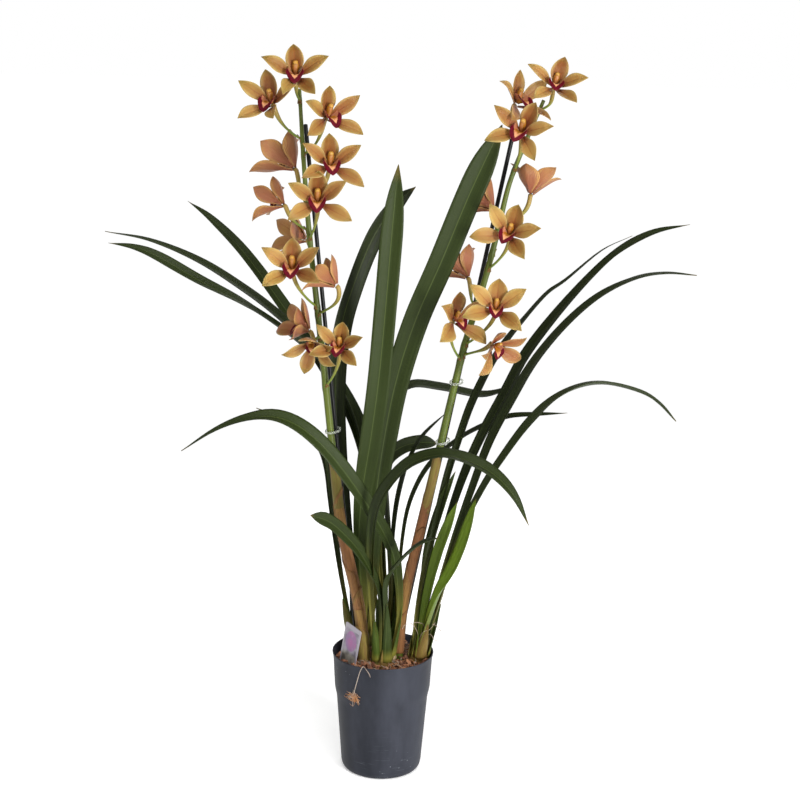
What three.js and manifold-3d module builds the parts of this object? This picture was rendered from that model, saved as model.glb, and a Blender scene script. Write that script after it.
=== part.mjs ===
// A potted cymbidium orchid with two staked flower spikes, in millimetres.
// +Z is up, +X is to the viewer's right, -Y is towards the viewer. The origin is the centre of
// the pot's flat base, on the surface that the pot stands on.
import * as THREE from "three";
import { mergeVertices } from "three/addons/utils/BufferGeometryUtils.js";
import Module from "manifold-3d";

const wasm = await Module();
wasm.setup();

// ---------------------------------------------------------------- driving dimensions
const GAP = 0.35; // between pieces that touch on the real plant
const POT = {
  sides: 30,
  // Radius of the outer wall at each height: base, body, step, collar, flared lip.
  outside: [[44, 0], [47.4, 5], [54, 91], [56.4, 101], [58.2, 134], [58.8, 140], [60, 145]],
  inside: [[58.6, 145], [56.6, 134], [54.9, 101.5], [52.5, 91.5], [45.7, 5], [44, 2.2]],
  drainRing: 30,
  drainRadius: 4.5,
  drainCount: 5,
};
const BARK = { top: 137, relief: 2.4, rings: [48, 35, 21, 8] };
const STAKE_RADIUS = 2.4;
const SHEATH = { foot: 0.036, slack: 0.7, thin: 0.8, flare: 2, hole: 8.8 }; // foot: share of the way up the spike
const SPIKE_RADIUS = { foot: 5.2, tip: 2 };
const LEAF_THICKNESS = 1.1;
const TEPAL = { length: 42, width: 20, thickness: 0.9 };
const TEPAL_OUTLINE = [[0, 0.14], [0.3, 0.66], [0.7, 1], [1, 0]]; // share of the length, of the width
const RECEPTACLE = { radius: 2.6, back: -3.2, front: 1.8 };

// ---------------------------------------------------------------- colours from the photograph
const finish = (color, roughness) => new THREE.MeshStandardMaterial({ color, roughness, metalness: 0 });
const PLASTIC = finish(0x3d4149, 0.45);
const BARK_BROWN = finish(0x5a3524, 0.95);
const LEAF_GREEN = finish(0x42562a, 0.5);
const SPIKE_GREEN = finish(0x76812f, 0.55);
const SHEATH_TAN = finish(0xa9764a, 0.75);
const STAKE_BLACK = finish(0x15171a, 0.5);
const LABEL_CARD = finish(0xb79fb4, 0.4);
const TIE_CLEAR = finish(0xd9dccf, 0.3);
const ROOT_TAN = finish(0xb08a62, 0.9);
const TEPAL_OCHRE = finish(0xc0974f, 0.6);
const LIP_MAROON = finish(0x7c1630, 0.5);

// ---------------------------------------------------------------- small helpers
const rad = THREE.MathUtils.degToRad;
const vec = (x, y, z) => new THREE.Vector3(x, y, z);
const point = (p) => new THREE.Vector3(...p);
const mix = THREE.MathUtils.lerp;

// A repeatable random number from -1 to 1 for each seed and draw.
function wobble(seed, draw) {
  const value = Math.sin(seed * 127.1 + draw * 311.7) * 43758.5453;
  return 2 * (value - Math.floor(value)) - 1;
}

// The value at t, from 0 to 1, of a list of values spaced evenly along it.
function along(values, t) {
  const at = Math.min(t, 0.9999) * (values.length - 1);
  const i = Math.floor(at);
  return mix(values[i], values[i + 1] ?? values[i], at - i);
}

const smoothCurve = (path) => new THREE.CatmullRomCurve3(path.map(point), false, "catmullrom", 0.5);

// ---------------------------------------------------------------- solids
// A closed solid from corner points and triangles, turned to face outwards.
function solidOf(points, faces) {
  const geometry = new THREE.BufferGeometry().setFromPoints(points);
  geometry.setIndex(faces.flat());
  return solidFromGeometry(geometry);
}

function solidFromGeometry(geometry) {
  const bare = geometry.clone();
  bare.deleteAttribute("normal");
  bare.deleteAttribute("uv");
  const merged = mergeVertices(bare, 1e-3);
  const index = merged.index.array;
  const kept = [];
  for (let i = 0; i < index.length; i += 3) {
    const [a, b, c] = [index[i], index[i + 1], index[i + 2]];
    if (a !== b && b !== c && a !== c) kept.push([a, b, c]);
  }
  const vertProperties = new Float32Array(merged.attributes.position.array);
  if (signedVolume(vertProperties, kept) < 0) kept.forEach((face) => face.reverse());
  const triVerts = new Uint32Array(kept.flat());
  return new wasm.Manifold(new wasm.Mesh({ numProp: 3, vertProperties, triVerts }));
}

function signedVolume(position, faces) {
  const corner = (i) => vec(position[3 * i], position[3 * i + 1], position[3 * i + 2]);
  let sum = 0;
  for (const [a, b, c] of faces) sum += corner(a).dot(corner(b).cross(corner(c)));
  return sum;
}

function meshOf(name, solid, material) {
  const made = solid.getMesh();
  const geometry = new THREE.BufferGeometry();
  geometry.setAttribute("position", new THREE.BufferAttribute(made.vertProperties, 3));
  geometry.setIndex(new THREE.BufferAttribute(made.triVerts, 1));
  geometry.computeVertexNormals();
  const mesh = new THREE.Mesh(geometry, material);
  mesh.name = name;
  return mesh;
}

const union = (solids) => solids.reduce((sum, solid) => sum.add(solid));

// A closed tube through rings of points, all with the same number of sides.
function loft(rings) {
  const sides = rings[0].length;
  const points = rings.flat();
  const faces = [];
  for (let i = 0; i + 1 < rings.length; i++) {
    for (let k = 0; k < sides; k++) {
      const [a, b] = [i * sides + k, i * sides + ((k + 1) % sides)];
      faces.push([a, b, b + sides], [a, b + sides, a + sides]);
    }
  }
  const last = (rings.length - 1) * sides;
  for (let k = 1; k + 1 < sides; k++) {
    faces.push([0, k + 1, k], [last, last + k, last + k + 1]);
  }
  return solidOf(points, faces);
}

// A thin blade from rows of points across it. Both faces are split along the same diagonals.
function blade(rows, halfThickness) {
  const across = rows[0].length;
  const count = rows.length * across;
  const front = rows.flatMap((row, i) => row.map((p) => p.clone().add(halfThickness[i])));
  const back = rows.flatMap((row, i) => row.map((p) => p.clone().sub(halfThickness[i])));
  const faces = [];
  const wall = (a, b) => faces.push([b, a, a + count], [b, a + count, b + count]);
  for (let i = 0; i + 1 < rows.length; i++) {
    for (let j = 0; j + 1 < across; j++) {
      const a = i * across + j;
      const [b, c, d] = [a + 1, a + across + 1, a + across];
      faces.push([a, b, c], [a, c, d], [a + count, c + count, b + count], [a + count, d + count, c + count]);
    }
    wall((i + 1) * across, i * across);
    wall(i * across + across - 1, (i + 1) * across + across - 1);
  }
  for (let j = 0; j + 1 < across; j++) {
    wall(j, j + 1);
    wall((rows.length - 1) * across + j + 1, (rows.length - 1) * across + j);
  }
  return solidOf(front.concat(back), faces);
}

// A ring of points round a place on a curve, square to the curve. toward: where it starts.
function ringRound(centre, tangent, radius, sides, toward = vec(1, 0, 0)) {
  const side = toward.clone().addScaledVector(tangent, -toward.dot(tangent)).normalize();
  const other = tangent.clone().cross(side);
  return Array.from({ length: sides }, (_, k) => {
    const angle = (2 * Math.PI * k) / sides;
    return centre
      .clone()
      .addScaledVector(side, radius * Math.cos(angle))
      .addScaledVector(other, radius * Math.sin(angle));
  });
}

// A round stem along a curve with a radius that varies along it. The last ring is square to
// the direction last, if that is given.
function stem(curve, radiusAt, sides, steps, last) {
  const rings = [];
  let toward = vec(1, 0, 0);
  for (let i = 0; i <= steps; i++) {
    const [centre, tangent] = [curve.getPoint(i / steps), curve.getTangent(i / steps)];
    const axis = i === steps && last ? last : tangent;
    rings.push(ringRound(centre, axis, radiusAt(i / steps), sides, toward));
    toward = rings[i][0].clone().sub(centre).normalize();
  }
  return loft(rings);
}

// A solid turned about the upright line through x and y.
function turned(profile, sides, x = 0, y = 0) {
  const points = profile.map(([r, z]) => new THREE.Vector2(r, z));
  const geometry = new THREE.LatheGeometry(points, sides);
  geometry.rotateX(Math.PI / 2);
  geometry.translate(x, y, 0);
  return solidFromGeometry(geometry);
}

// ---------------------------------------------------------------- pot
function pot() {
  const shell = turned([[0, 0], ...POT.outside, ...POT.inside, [0, 2.2]], POT.sides);
  const holes = Array.from({ length: POT.drainCount }, (_, i) => {
    const angle = rad(18 + (360 * i) / POT.drainCount);
    const [x, y] = [POT.drainRing * Math.cos(angle), POT.drainRing * Math.sin(angle)];
    return turned([[0, -1], [POT.drainRadius, -1], [POT.drainRadius, 4], [0, 4]], 8, x, y);
  });
  return holes.reduce((sum, hole) => sum.subtract(hole), shell);
}

// ---------------------------------------------------------------- leaves
// Each growth is a pseudobulb half sunk in the bark, with its leaves fused into it.
const GROWTHS = {
  left: { x: -29, y: 19, radius: 12, neck: 156 },
  centre: { x: -1, y: -19, radius: 11.5, neck: 155 },
  back: { x: 7, y: 32, radius: 13, neck: 160 },
  right: { x: 43, y: -2, radius: 11.5, neck: 157 },
};
const BULB_FOOT = 108;

// path: the midrib, from inside the bulb to the tip. width: the blade at its widest.
// edge: the compass bearing of the blade's right-hand edge, in degrees from +X.
// twist: turns of the blade about its midrib, in degrees, spaced evenly from base to tip.
// taper: the share of the length where it starts to narrow, 0.6 where none is given.
const LEAVES = {
  left: [
    { path: [[-34, 15, 143], [-50, 8, 218], [-60, 10, 278], [-66, 12, 326], [-71, 12, 368], [-83, 9, 396], [-101, 0, 415], [-121, -10, 428], [-148, -20, 441]], width: 15, edge: 90, twist: [-50, -40, -20, -10] },
    { path: [[-26, 14, 143], [-27, 14, 207], [-31, 10, 271], [-28, 2, 335], [-18, -10, 409], [-10, -16, 480], [-4, -18, 559], [1, -16, 636], [7, -10, 716]], width: 27, taper: 0.86, edge: 0, twist: [40, 25, 5, -5, 0] },
    { path: [[-22, 21, 143], [-17, 20, 207], [-16, 16, 269], [-12, 12, 330], [-3, 8, 403], [10, 4, 474], [30, -6, 544], [57, -16, 612], [86, -22, 688], [118, -26, 762]], width: 31, taper: 0.9, edge: 0, twist: [50, 30, 5, 0, -10] },
    { path: [[-31, 24, 143], [-38, 28, 209], [-49, 28, 295], [-58, 28, 392], [-61, 30, 463], [-56, 35, 522], [-44, 42, 568], [-22, 54, 625], [4, 66, 664], [27, 78, 684]], width: 25, taper: 0.75, edge: 0, twist: [40, 40, 30, 35, 20] },
  ],
  centre: [
    { path: [[8, -16, 143], [16, -18, 195], [15, -24, 240], [8, -34, 280], [-11, -50, 323], [-38, -66, 370], [-68, -76, 411], [-96, -82, 436], [-124, -86, 447], [-155, -90, 444], [-187, -94, 432], [-222, -98, 410]], width: 21, edge: 90, twist: [-50, -65, -60, -45, -20, -15] },
    { path: [[-6, -22, 143], [-12, -38, 220], [-14, -58, 293], [-9, -74, 341], [5, -90, 374], [27, -104, 402], [54, -114, 415], [77, -122, 415], [101, -128, 408], [122, -133, 395], [139, -137, 376], [154, -140, 347]], width: 22, edge: -105, twist: [80, 75, 40, 15, 25, 50] },
    { path: [[-5, -26, 143], [-5, -38, 208], [-10, -48, 246], [-27, -62, 285], [-44, -76, 311], [-62, -90, 331], [-81, -104, 342]], width: 17, taper: 0.86, edge: 120, twist: [-30, -50, -75, -70] },
    { path: [[4, -25, 143], [5, -37, 208], [5, -45, 246], [15, -58, 270], [31, -72, 293], [45, -84, 307], [59, -96, 316]], width: 19, edge: -130, twist: [30, 25, 20, 15] },
  ],
  back: [
    { path: [[1, 27, 143], [-8, 32, 248], [-22, 48, 342], [-43, 66, 410], [-77, 80, 469], [-124, 92, 535], [-173, 104, 598], [-213, 116, 636], [-243, 126, 657]], width: 18, edge: 58, twist: [-60, -35, -25, -25] },
    { path: [[4, 33, 143], [-3, 42, 234], [-12, 52, 330], [-30, 60, 400], [-60, 66, 454], [-99, 68, 501], [-134, 66, 534], [-169, 60, 562], [-219, 50, 595], [-275, 40, 620], [-324, 30, 631]], width: 17, edge: 90, twist: [-60, -40, -30, -25, -20] },
    { path: [[-2, 24, 143], [-11, 28, 246], [-22, 36, 343], [-38, 44, 417], [-66, 52, 467], [-104, 54, 501], [-133, 52, 524], [-172, 38, 551], [-216, 24, 577], [-259, 10, 605], [-285, 0, 617], [-313, -10, 623]], width: 17, edge: 90, twist: [-60, -45, -20, -6, -55, -50] },
    { path: [[4, 36, 143], [-3, 44, 243], [-9, 58, 312], [-4, 80, 350], [13, 96, 366], [37, 112, 370], [61, 126, 366]], width: 19, taper: 0.85, edge: -40, twist: [10, 30, 60, 60] },
    { path: [[9, 36, 143], [10, 46, 218], [4, 66, 299], [-2, 90, 367], [4, 112, 417], [27, 122, 438], [63, 127, 435], [112, 127, 427], [142, 122, 436], [161, 117, 449]], width: 20, edge: -90, twist: [30, 20, 20, 20, 0] },
    { path: [[14, 29, 143], [18, 33, 224], [25, 44, 294], [38, 52, 334], [58, 60, 364], [89, 66, 390], [119, 60, 408], [144, 50, 420], [178, 40, 426], [208, 25, 432]], width: 11, edge: -90, twist: [60, 40, 15, 25, 30] },
    { path: [[9, 41, 143], [9, 52, 220], [12, 64, 290], [20, 74, 336], [31, 82, 364], [45, 90, 387], [71, 98, 413]], width: 11, edge: -90, twist: [50, 40, 20, 20] },
  ],
  right: [
    { path: [[37, -9, 143], [39, -16, 190], [47, -8, 247], [59, 6, 299], [72, 18, 355], [87, 26, 405], [99, 32, 440], [117, 38, 479], [136, 42, 511], [155, 45, 535], [181, 48, 566], [203, 50, 583], [243, 54, 618], [277, 58, 635]], width: 14, edge: -90, twist: [60, 55, 35, 10, 0] },
    { path: [[43, 4, 143], [56, 14, 215], [73, 22, 287], [92, 28, 350], [113, 32, 402], [138, 34, 452], [160, 36, 497], [191, 38, 542], [229, 40, 587], [263, 40, 620], [299, 38, 642], [338, 34, 652]], width: 20, edge: -90, twist: [50, 45, 35, 25, 15, 45] },
    { path: [[46, 0, 143], [64, 0, 215], [83, 2, 283], [102, 4, 344], [120, 4, 399], [141, 2, 447], [165, -4, 495], [197, -12, 539], [233, -20, 575], [270, -28, 597], [301, -35, 605], [335, -42, 605]], width: 19, edge: -90, twist: [50, 40, 30, 20, 5, 15] },
    { path: [[48, -6, 143], [70, -20, 229], [88, -32, 300], [111, -45, 358], [133, -55, 399], [158, -65, 440], [180, -75, 468], [206, -85, 486], [235, -95, 493], [270, -105, 487], [291, -110, 476], [309, -113, 458]], width: 19, edge: -105, twist: [50, 45, 35, 25, 0, -30, -40] },
    { path: [[43, -9, 143], [62, -36, 222], [76, -52, 258], [88, -64, 294], [96, -74, 327], [100, -82, 358]], width: 27, edge: -120, twist: [40, 45, 50, 50] },
    { path: [[39, 3, 143], [46, 6, 205], [52, 10, 271], [66, 12, 325], [80, 14, 362]], width: 13, edge: -90, twist: [60, 60, 60, 60] },
    { path: [[40, -11, 143], [49, -22, 214], [60, -30, 272], [71, -36, 310], [81, -40, 341]], width: 14, edge: -90, twist: [60, 60, 60, 60] },
  ],
};

// Share of the full width: narrow where the blade clasps the bulb, pointed at the tip.
function leafWidthShare(t, taper) {
  const base = 0.4 + 0.6 * Math.min(1, t / 0.45) ** 0.8;
  const tip = t < taper ? 1 : 1 - ((t - taper) / (1 - taper)) ** 2.4;
  return Math.max(base * tip, 0.05);
}

// Angle of each half of the blade to flat: folded like a V at the base, nearly flat higher up.
const leafFold = (t) => rad(mix(58, 20, Math.min(1, t / 0.5)));

function leaf({ path, width, edge, twist, taper = 0.6 }) {
  const curve = smoothCurve(path);
  const steps = Math.min(9, path.length);
  const rows = [];
  const halfThickness = [];
  const reference = vec(Math.cos(rad(edge)), Math.sin(rad(edge)), 0);
  for (let i = 0; i <= steps; i++) {
    const t = i / steps;
    const centre = curve.getPoint(t);
    const tangent = curve.getTangent(t);
    const side = reference.clone().addScaledVector(tangent, -reference.dot(tangent)).normalize();
    side.applyAxisAngle(tangent, rad(along(twist, t)));
    const up = side.clone().cross(tangent);
    const half = (width / 2) * leafWidthShare(t, taper);
    const [out, rise] = [half * Math.cos(leafFold(t)), half * Math.sin(leafFold(t))];
    rows.push([
      centre.clone().addScaledVector(side, -out).addScaledVector(up, rise),
      centre.clone(),
      centre.clone().addScaledVector(side, out).addScaledVector(up, rise),
    ]);
    halfThickness.push(up.multiplyScalar(LEAF_THICKNESS / 2));
  }
  return blade(rows, halfThickness);
}

function bulbProfile({ radius, neck }, grow) {
  return [
    [0, BULB_FOOT - grow],
    [radius * 0.7 + grow, BULB_FOOT - grow],
    [radius + grow, BULB_FOOT + 18],
    [radius + grow, 141],
    [radius * 0.55 + grow, neck],
    [0, neck + grow],
  ];
}

function growth(name) {
  const place = GROWTHS[name];
  const bulb = turned(bulbProfile(place, 0), 10, place.x, place.y);
  return union([bulb, ...LEAVES[name].map(leaf)]);
}

// ---------------------------------------------------------------- flower spikes and stakes
const SPIKES = {
  left: {
    path: [[-20, -14, 112], [-28, -14, 200], [-49, -13, 293], [-60, -12, 377], [-69, -11, 454], [-80, -10, 550], [-90, -9, 635], [-97, -9, 718], [-102, -10, 795]],
    stake: [[-18, 1, 30], [-96, 1, 757]],
    sheathCount: 6,
  },
  right: {
    path: [[17.5, -2, 112], [22.5, -2, 200], [38.5, -1, 285], [55, -1, 365], [70, 0, 440], [86, 1, 515], [104, 2, 580], [118, 2, 640], [130, 2, 697], [148, 2, 747], [164, 0, 788]],
    stake: [[-4, 12, 30], [132, 14, 746]],
    sheathCount: 5,
  },
};
const SPIKE_SIDES = 8;
const SPIKE_STEPS = 18;
const spikeCurve = (side) => smoothCurve(SPIKES[side].path);
const spikeRadius = (t) => mix(SPIKE_RADIUS.foot, SPIKE_RADIUS.tip, t ** 1.3);

// The place on a spike at a height, by halving.
function spikePlace(curve, height) {
  let [low, high] = [0, 1];
  for (let i = 0; i < 24; i++) {
    const middle = (low + high) / 2;
    if (curve.getPoint(middle).z < height) low = middle;
    else high = middle;
  }
  return curve.getPoint((low + high) / 2);
}

// A bloom's stalk: out of the spike, up, and into the back of the bloom from below.
function pedicel(curve, bloom) {
  const { centre, forward } = bloomFrame(bloom);
  const end = centre.clone().addScaledVector(forward, RECEPTACLE.back - GAP);
  const start = spikePlace(curve, Math.min(end.z - bloom.drop, SPIKE_TOP - 4));
  const away = end.clone().sub(start).setZ(0).clampLength(0, 16);
  const lift = start.clone().add(away).add(vec(0, 0, 8));
  const approach = end.clone().addScaledVector(forward, -8).add(vec(0, 0, -14));
  const path = new THREE.CubicBezierCurve3(start, lift, approach, end);
  return stem(path, (t) => mix(1.5, 2.4, t), 5, 4, forward);
}
const SPIKE_TOP = 786;

function spike(side) {
  const curve = spikeCurve(side);
  const stalk = stem(curve, spikeRadius, SPIKE_SIDES, SPIKE_STEPS);
  return union([stalk, ...BLOOMS[side].map((bloom) => pedicel(curve, bloom))]);
}

// Papery sheaths round the foot of a spike. Each flares at its top round the foot of the next.
function sheaths(side) {
  const curve = spikeCurve(side);
  const outer = [];
  const inner = [];
  const addRing = (t, proud) => {
    const [centre, tangent] = [curve.getPoint(t), curve.getTangent(t)];
    outer.push(ringRound(centre, tangent, spikeRadius(t) + SHEATH.slack + proud, SPIKE_SIDES));
    inner.push(ringRound(centre, tangent, spikeRadius(t) + SHEATH.slack, SPIKE_SIDES));
  };
  addRing(SHEATH.foot, SHEATH.thin);
  for (let i = 1; i <= SPIKES[side].sheathCount; i++) {
    addRing((i + 0.5) / SPIKE_STEPS, SHEATH.flare);
    if (i < SPIKES[side].sheathCount) addRing((i + 0.55) / SPIKE_STEPS, SHEATH.thin);
  }
  return openTube(outer, inner);
}

// A tube open at both ends, from rings of its outer and inner walls.
function openTube(outer, inner) {
  const sides = outer[0].length;
  const rings = [...outer, ...inner.reverse()];
  const points = rings.flat();
  const faces = [];
  for (let i = 0; i < rings.length; i++) {
    const next = ((i + 1) % rings.length) * sides;
    for (let k = 0; k < sides; k++) {
      const [a, b] = [i * sides + k, i * sides + ((k + 1) % sides)];
      const [c, d] = [next + ((k + 1) % sides), next + k];
      faces.push([a, b, c], [a, c, d]);
    }
  }
  return solidOf(points, faces);
}

function stake(side, grow = 0) {
  const [foot, top] = SPIKES[side].stake.map(point);
  const axis = top.clone().sub(foot).normalize();
  const ends = [foot.clone().addScaledVector(axis, -grow), top];
  return loft(ends.map((end) => ringRound(end, axis, STAKE_RADIUS + grow, 8)));
}

// A clear clip that goes once round the spike and its stake at a height.
const TIES = { left: 413, right: 400, right_top: 470 };
function tie(side, height) {
  const onSpike = spikePlace(spikeCurve(side), height);
  const [foot, top] = SPIKES[side].stake.map(point);
  const onStake = foot.clone().lerp(top, (height - foot.z) / (top.z - foot.z));
  const middle = onSpike.clone().add(onStake).multiplyScalar(0.5);
  const reach = onStake.clone().sub(onSpike).setZ(0);
  const long = reach.length() / 2 + SPIKE_RADIUS.foot + 1.4;
  const wide = SPIKE_RADIUS.foot + 1.4;
  const axis = reach.normalize();
  const cross = vec(-axis.y, axis.x, 0);
  const ring = (grow, z) =>
    Array.from({ length: 12 }, (_, k) => {
      const angle = (2 * Math.PI * k) / 12;
      return middle
        .clone()
        .addScaledVector(axis, (long + grow) * Math.cos(angle))
        .addScaledVector(cross, (wide + grow) * Math.sin(angle))
        .add(vec(0, 0, z));
    });
  return openTube([ring(1.1, -2.5), ring(1.1, 2.5)], [ring(0, -2.5), ring(0, 2.5)]);
}

// ---------------------------------------------------------------- blooms
// at: where the tepals join. turn: degrees to the viewer's right of facing the viewer.
// lift: degrees that the bloom faces above level. roll: degrees clockwise as faced.
// drop: how far below the bloom its stalk leaves the spike. lip: size of the lip to the usual.
// breadth: how wide the tepals are to the usual.
// tepals: bearing from straight up, clockwise, and lean forward of the dorsal sepal, right
// petal, right sepal, left sepal and left petal. BELL is a bloom half open.
const BELL = [[0, 46], [68, 48], [140, 46], [-140, 46], [-68, 48]];
const BLOOMS = {
  left: [
    { at: [-105, -24, 808], turn: 0, lift: 25, roll: 0, drop: 24, tepals: [[-3, 46], [68, 34], [141, 36], [-160, 46], [-72, 38]] },
    { at: [-131, -14, 778], turn: -25, lift: 22, roll: 0, drop: 36, tepals: [[-5, 30], [70, 35], [140, 44], [-140, 40], [-60, 44]] },
    { at: [-72, -16, 764], turn: 36, lift: 18, roll: 0, drop: 38, tepals: [[-10, 34], [60, 46], [132, 38], [-118, 20], [-66, 30]] },
    { at: [-67, -36, 714], turn: 12, lift: 22, roll: 0, drop: 44, tepals: [[-3, 38], [65, 44], [124, 20], [-118, 34], [-60, 38]] },
    { at: [-108, 4, 708], turn: -122, lift: 36, roll: 0, drop: 34, size: 1.16, breadth: 1.35, lip: 0.9, tepals: [[-2, 44], [68, 46], [142, 44], [-142, 44], [-70, 46]] },
    { at: [-120, 0, 668], turn: -120, lift: 20, roll: 0, drop: 26, size: 0.9, breadth: 1.3, lip: 0.7, tepals: [[-6, 44], [70, 46], [148, 44], [-142, 44], [-72, 46]] },
    { at: [-79, -46, 676], turn: 0, lift: 18, roll: 0, drop: 42, breadth: 1.08, tepals: [[0, 38], [60, 40], [120, 16], [-126, 36], [-66, 44]] },
    { at: [-97, 28, 626], turn: -70, lift: 20, roll: 0, drop: 30, breadth: 1.35, lip: 0.8, tepals: [[-8, 44], [62, 48], [132, 48], [-138, 46], [-68, 48]] },
    { at: [-106, -46, 602], turn: -3, lift: 25, roll: 0, drop: 44, breadth: 1.06, tepals: [[0, 38], [58, 38], [118, 36], [-128, 34], [-64, 42]] },
    { at: [-59, -42, 586], turn: -98, lift: 38, roll: 0, drop: 36, size: 0.9, breadth: 1.3, lip: 0.7, tepals: [[4, 44], [72, 48], [142, 46], [-140, 46], [-66, 48]] },
    { at: [-90, -16, 530], turn: -80, lift: 28, roll: 0, drop: 18, breadth: 1.3, lip: 0.95, tepals: [[-4, 38], [54, 46], [104, 30], [-130, 46], [-64, 44]] },
    { at: [-54, -42, 516], turn: -8, lift: 20, roll: 6, drop: 48, size: 0.9, lip: 0.85, tepals: [[5, 38], [64, 44], [126, 40], [-118, 42], [-56, 44]] },
    { at: [-84, -33, 521], turn: -14, lift: -32, roll: 0, drop: 2, size: 0.85, breadth: 1.2, lip: 0.6, tepals: [[-2, 44], [66, 36], [122, 36], [-166, 42], [-94, 42]] },
  ],
  right: [
    { at: [173, -16, 802], turn: 8, lift: 34, roll: 14, drop: 24, size: 0.93, lip: 0.9, tepals: [[4, 46], [82, 46], [140, 34], [-146, 30], [-76, 36]] },
    { at: [133, -10, 783], turn: 46, lift: 30, roll: 10, drop: 36, tepals: [[-16, 38], [56, 46], [146, 42], [-136, 20], [-74, 30]] },
    { at: [138, -34, 754], turn: -14, lift: 18, roll: 18, drop: 40, tepals: [[14, 30], [70, 36], [130, 28], [-128, 38], [-66, 44]] },
    { at: [154, 1, 686], turn: 146, lift: 66, roll: 0, drop: 34, size: 0.95, breadth: 1.5, lip: 0.8, tepals: BELL },
    { at: [112, 4, 668], turn: -110, lift: 35, roll: 0, drop: 48, breadth: 1.4, lip: 0.8, tepals: [[0, 44], [70, 48], [140, 40], [-132, 44], [-66, 48]] },
    { at: [129, -36, 644], turn: -14, lift: 18, roll: 20, drop: 42, breadth: 1.12, lip: 0.9, tepals: [[4, 32], [62, 34], [122, 38], [-122, 26], [-58, 44]] },
    { at: [87, 10, 590], turn: -130, lift: 45, roll: 0, drop: 30, breadth: 1.4, lip: 0.8, tepals: [[-4, 44], [62, 48], [128, 36], [-130, 40], [-68, 48]] },
    { at: [117, -42, 562], turn: -2, lift: 22, roll: 4, drop: 46, breadth: 1.15, lip: 0.85, tepals: [[0, 34], [56, 36], [128, 36], [-112, 34], [-58, 38]] },
    { at: [72, -24, 545], turn: 42, lift: 18, roll: 0, drop: 46, breadth: 1.25, lip: 0.8, tepals: [[-4, 34], [60, 46], [150, 40], [-118, 22], [-64, 36]] },
    { at: [116, -26, 520], turn: 40, lift: -24, roll: 0, drop: 20, size: 0.9, breadth: 1.2, lip: 0.75, tepals: [[-22, 26], [44, 42], [110, 36], [-136, 34], [-84, 36]] },
  ],
};

// Neighbours whose tepals are caught in one another are one solid. Counted from 0.
const TANGLED = { left: [[3, 6], [11, 12]], right: [[1, 2]] };

// Size and shape of each tepal in the same order. hollow: how far the edges stand forward.
// curl: how much it bends forward along its length. ahead: the petals stand inside the sepals.
const TEPALS = [
  { length: 0.86, width: 1, hollow: 0.3, curl: 12, ahead: 0 },
  { length: 1, width: 0.76, hollow: 0.16, curl: -14, ahead: 0.9 },
  { length: 1, width: 0.82, hollow: 0.2, curl: -16, ahead: 0 },
  { length: 1, width: 0.82, hollow: 0.2, curl: -16, ahead: 0 },
  { length: 1, width: 0.76, hollow: 0.16, curl: -14, ahead: 0.9 },
];

function bloomFrame({ at, turn, lift, roll }) {
  const [a, b] = [rad(turn), rad(lift)];
  const forward = vec(Math.sin(a) * Math.cos(b), -Math.cos(a) * Math.cos(b), Math.sin(b));
  const level = vec(0, 0, 1).addScaledVector(forward, -forward.z).normalize();
  const up = level.applyAxisAngle(forward, -rad(roll));
  const right = up.clone().cross(forward);
  return { centre: point(at), forward, up, right };
}

// The front and back of one tepal as rows of three points, from its foot to its tip.
function tepalRows(frame, shape, [bearingDegrees, leanDegrees], size, breadth) {
  const bearing = rad(bearingDegrees);
  const curl = rad(shape.curl);
  const lean = rad(leanDegrees) - curl / 2;
  const out = frame.up.clone().multiplyScalar(Math.cos(bearing)).addScaledVector(frame.right, Math.sin(bearing));
  const side = frame.right.clone().multiplyScalar(Math.cos(bearing)).addScaledVector(frame.up, -Math.sin(bearing));
  const length = TEPAL.length * shape.length * size;
  return TEPAL_OUTLINE.map(([t, widthShare]) => {
    const slope = lean + curl * t;
    const radius = RECEPTACLE.radius + (length * (Math.sin(slope) - Math.sin(lean))) / curl;
    const depth = shape.ahead + (length * (Math.cos(lean) - Math.cos(slope))) / curl;
    const middle = frame.centre.clone().addScaledVector(out, radius).addScaledVector(frame.forward, depth);
    const normal = frame.forward.clone().multiplyScalar(Math.cos(slope)).addScaledVector(out, -Math.sin(slope));
    const half = (TEPAL.width / 2) * shape.width * widthShare * size * mix(1, breadth, Math.min(1, t / 0.7));
    const edge = shape.hollow * half;
    const row = [-1, 0, 1].map((s) =>
      middle.clone().addScaledVector(side, s * half).addScaledVector(normal, Math.abs(s) * edge),
    );
    const step = normal.multiplyScalar(TEPAL.thickness / 2);
    return { front: row.map((p) => p.clone().add(step)), back: row.map((p) => p.clone().sub(step)) };
  });
}

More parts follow.
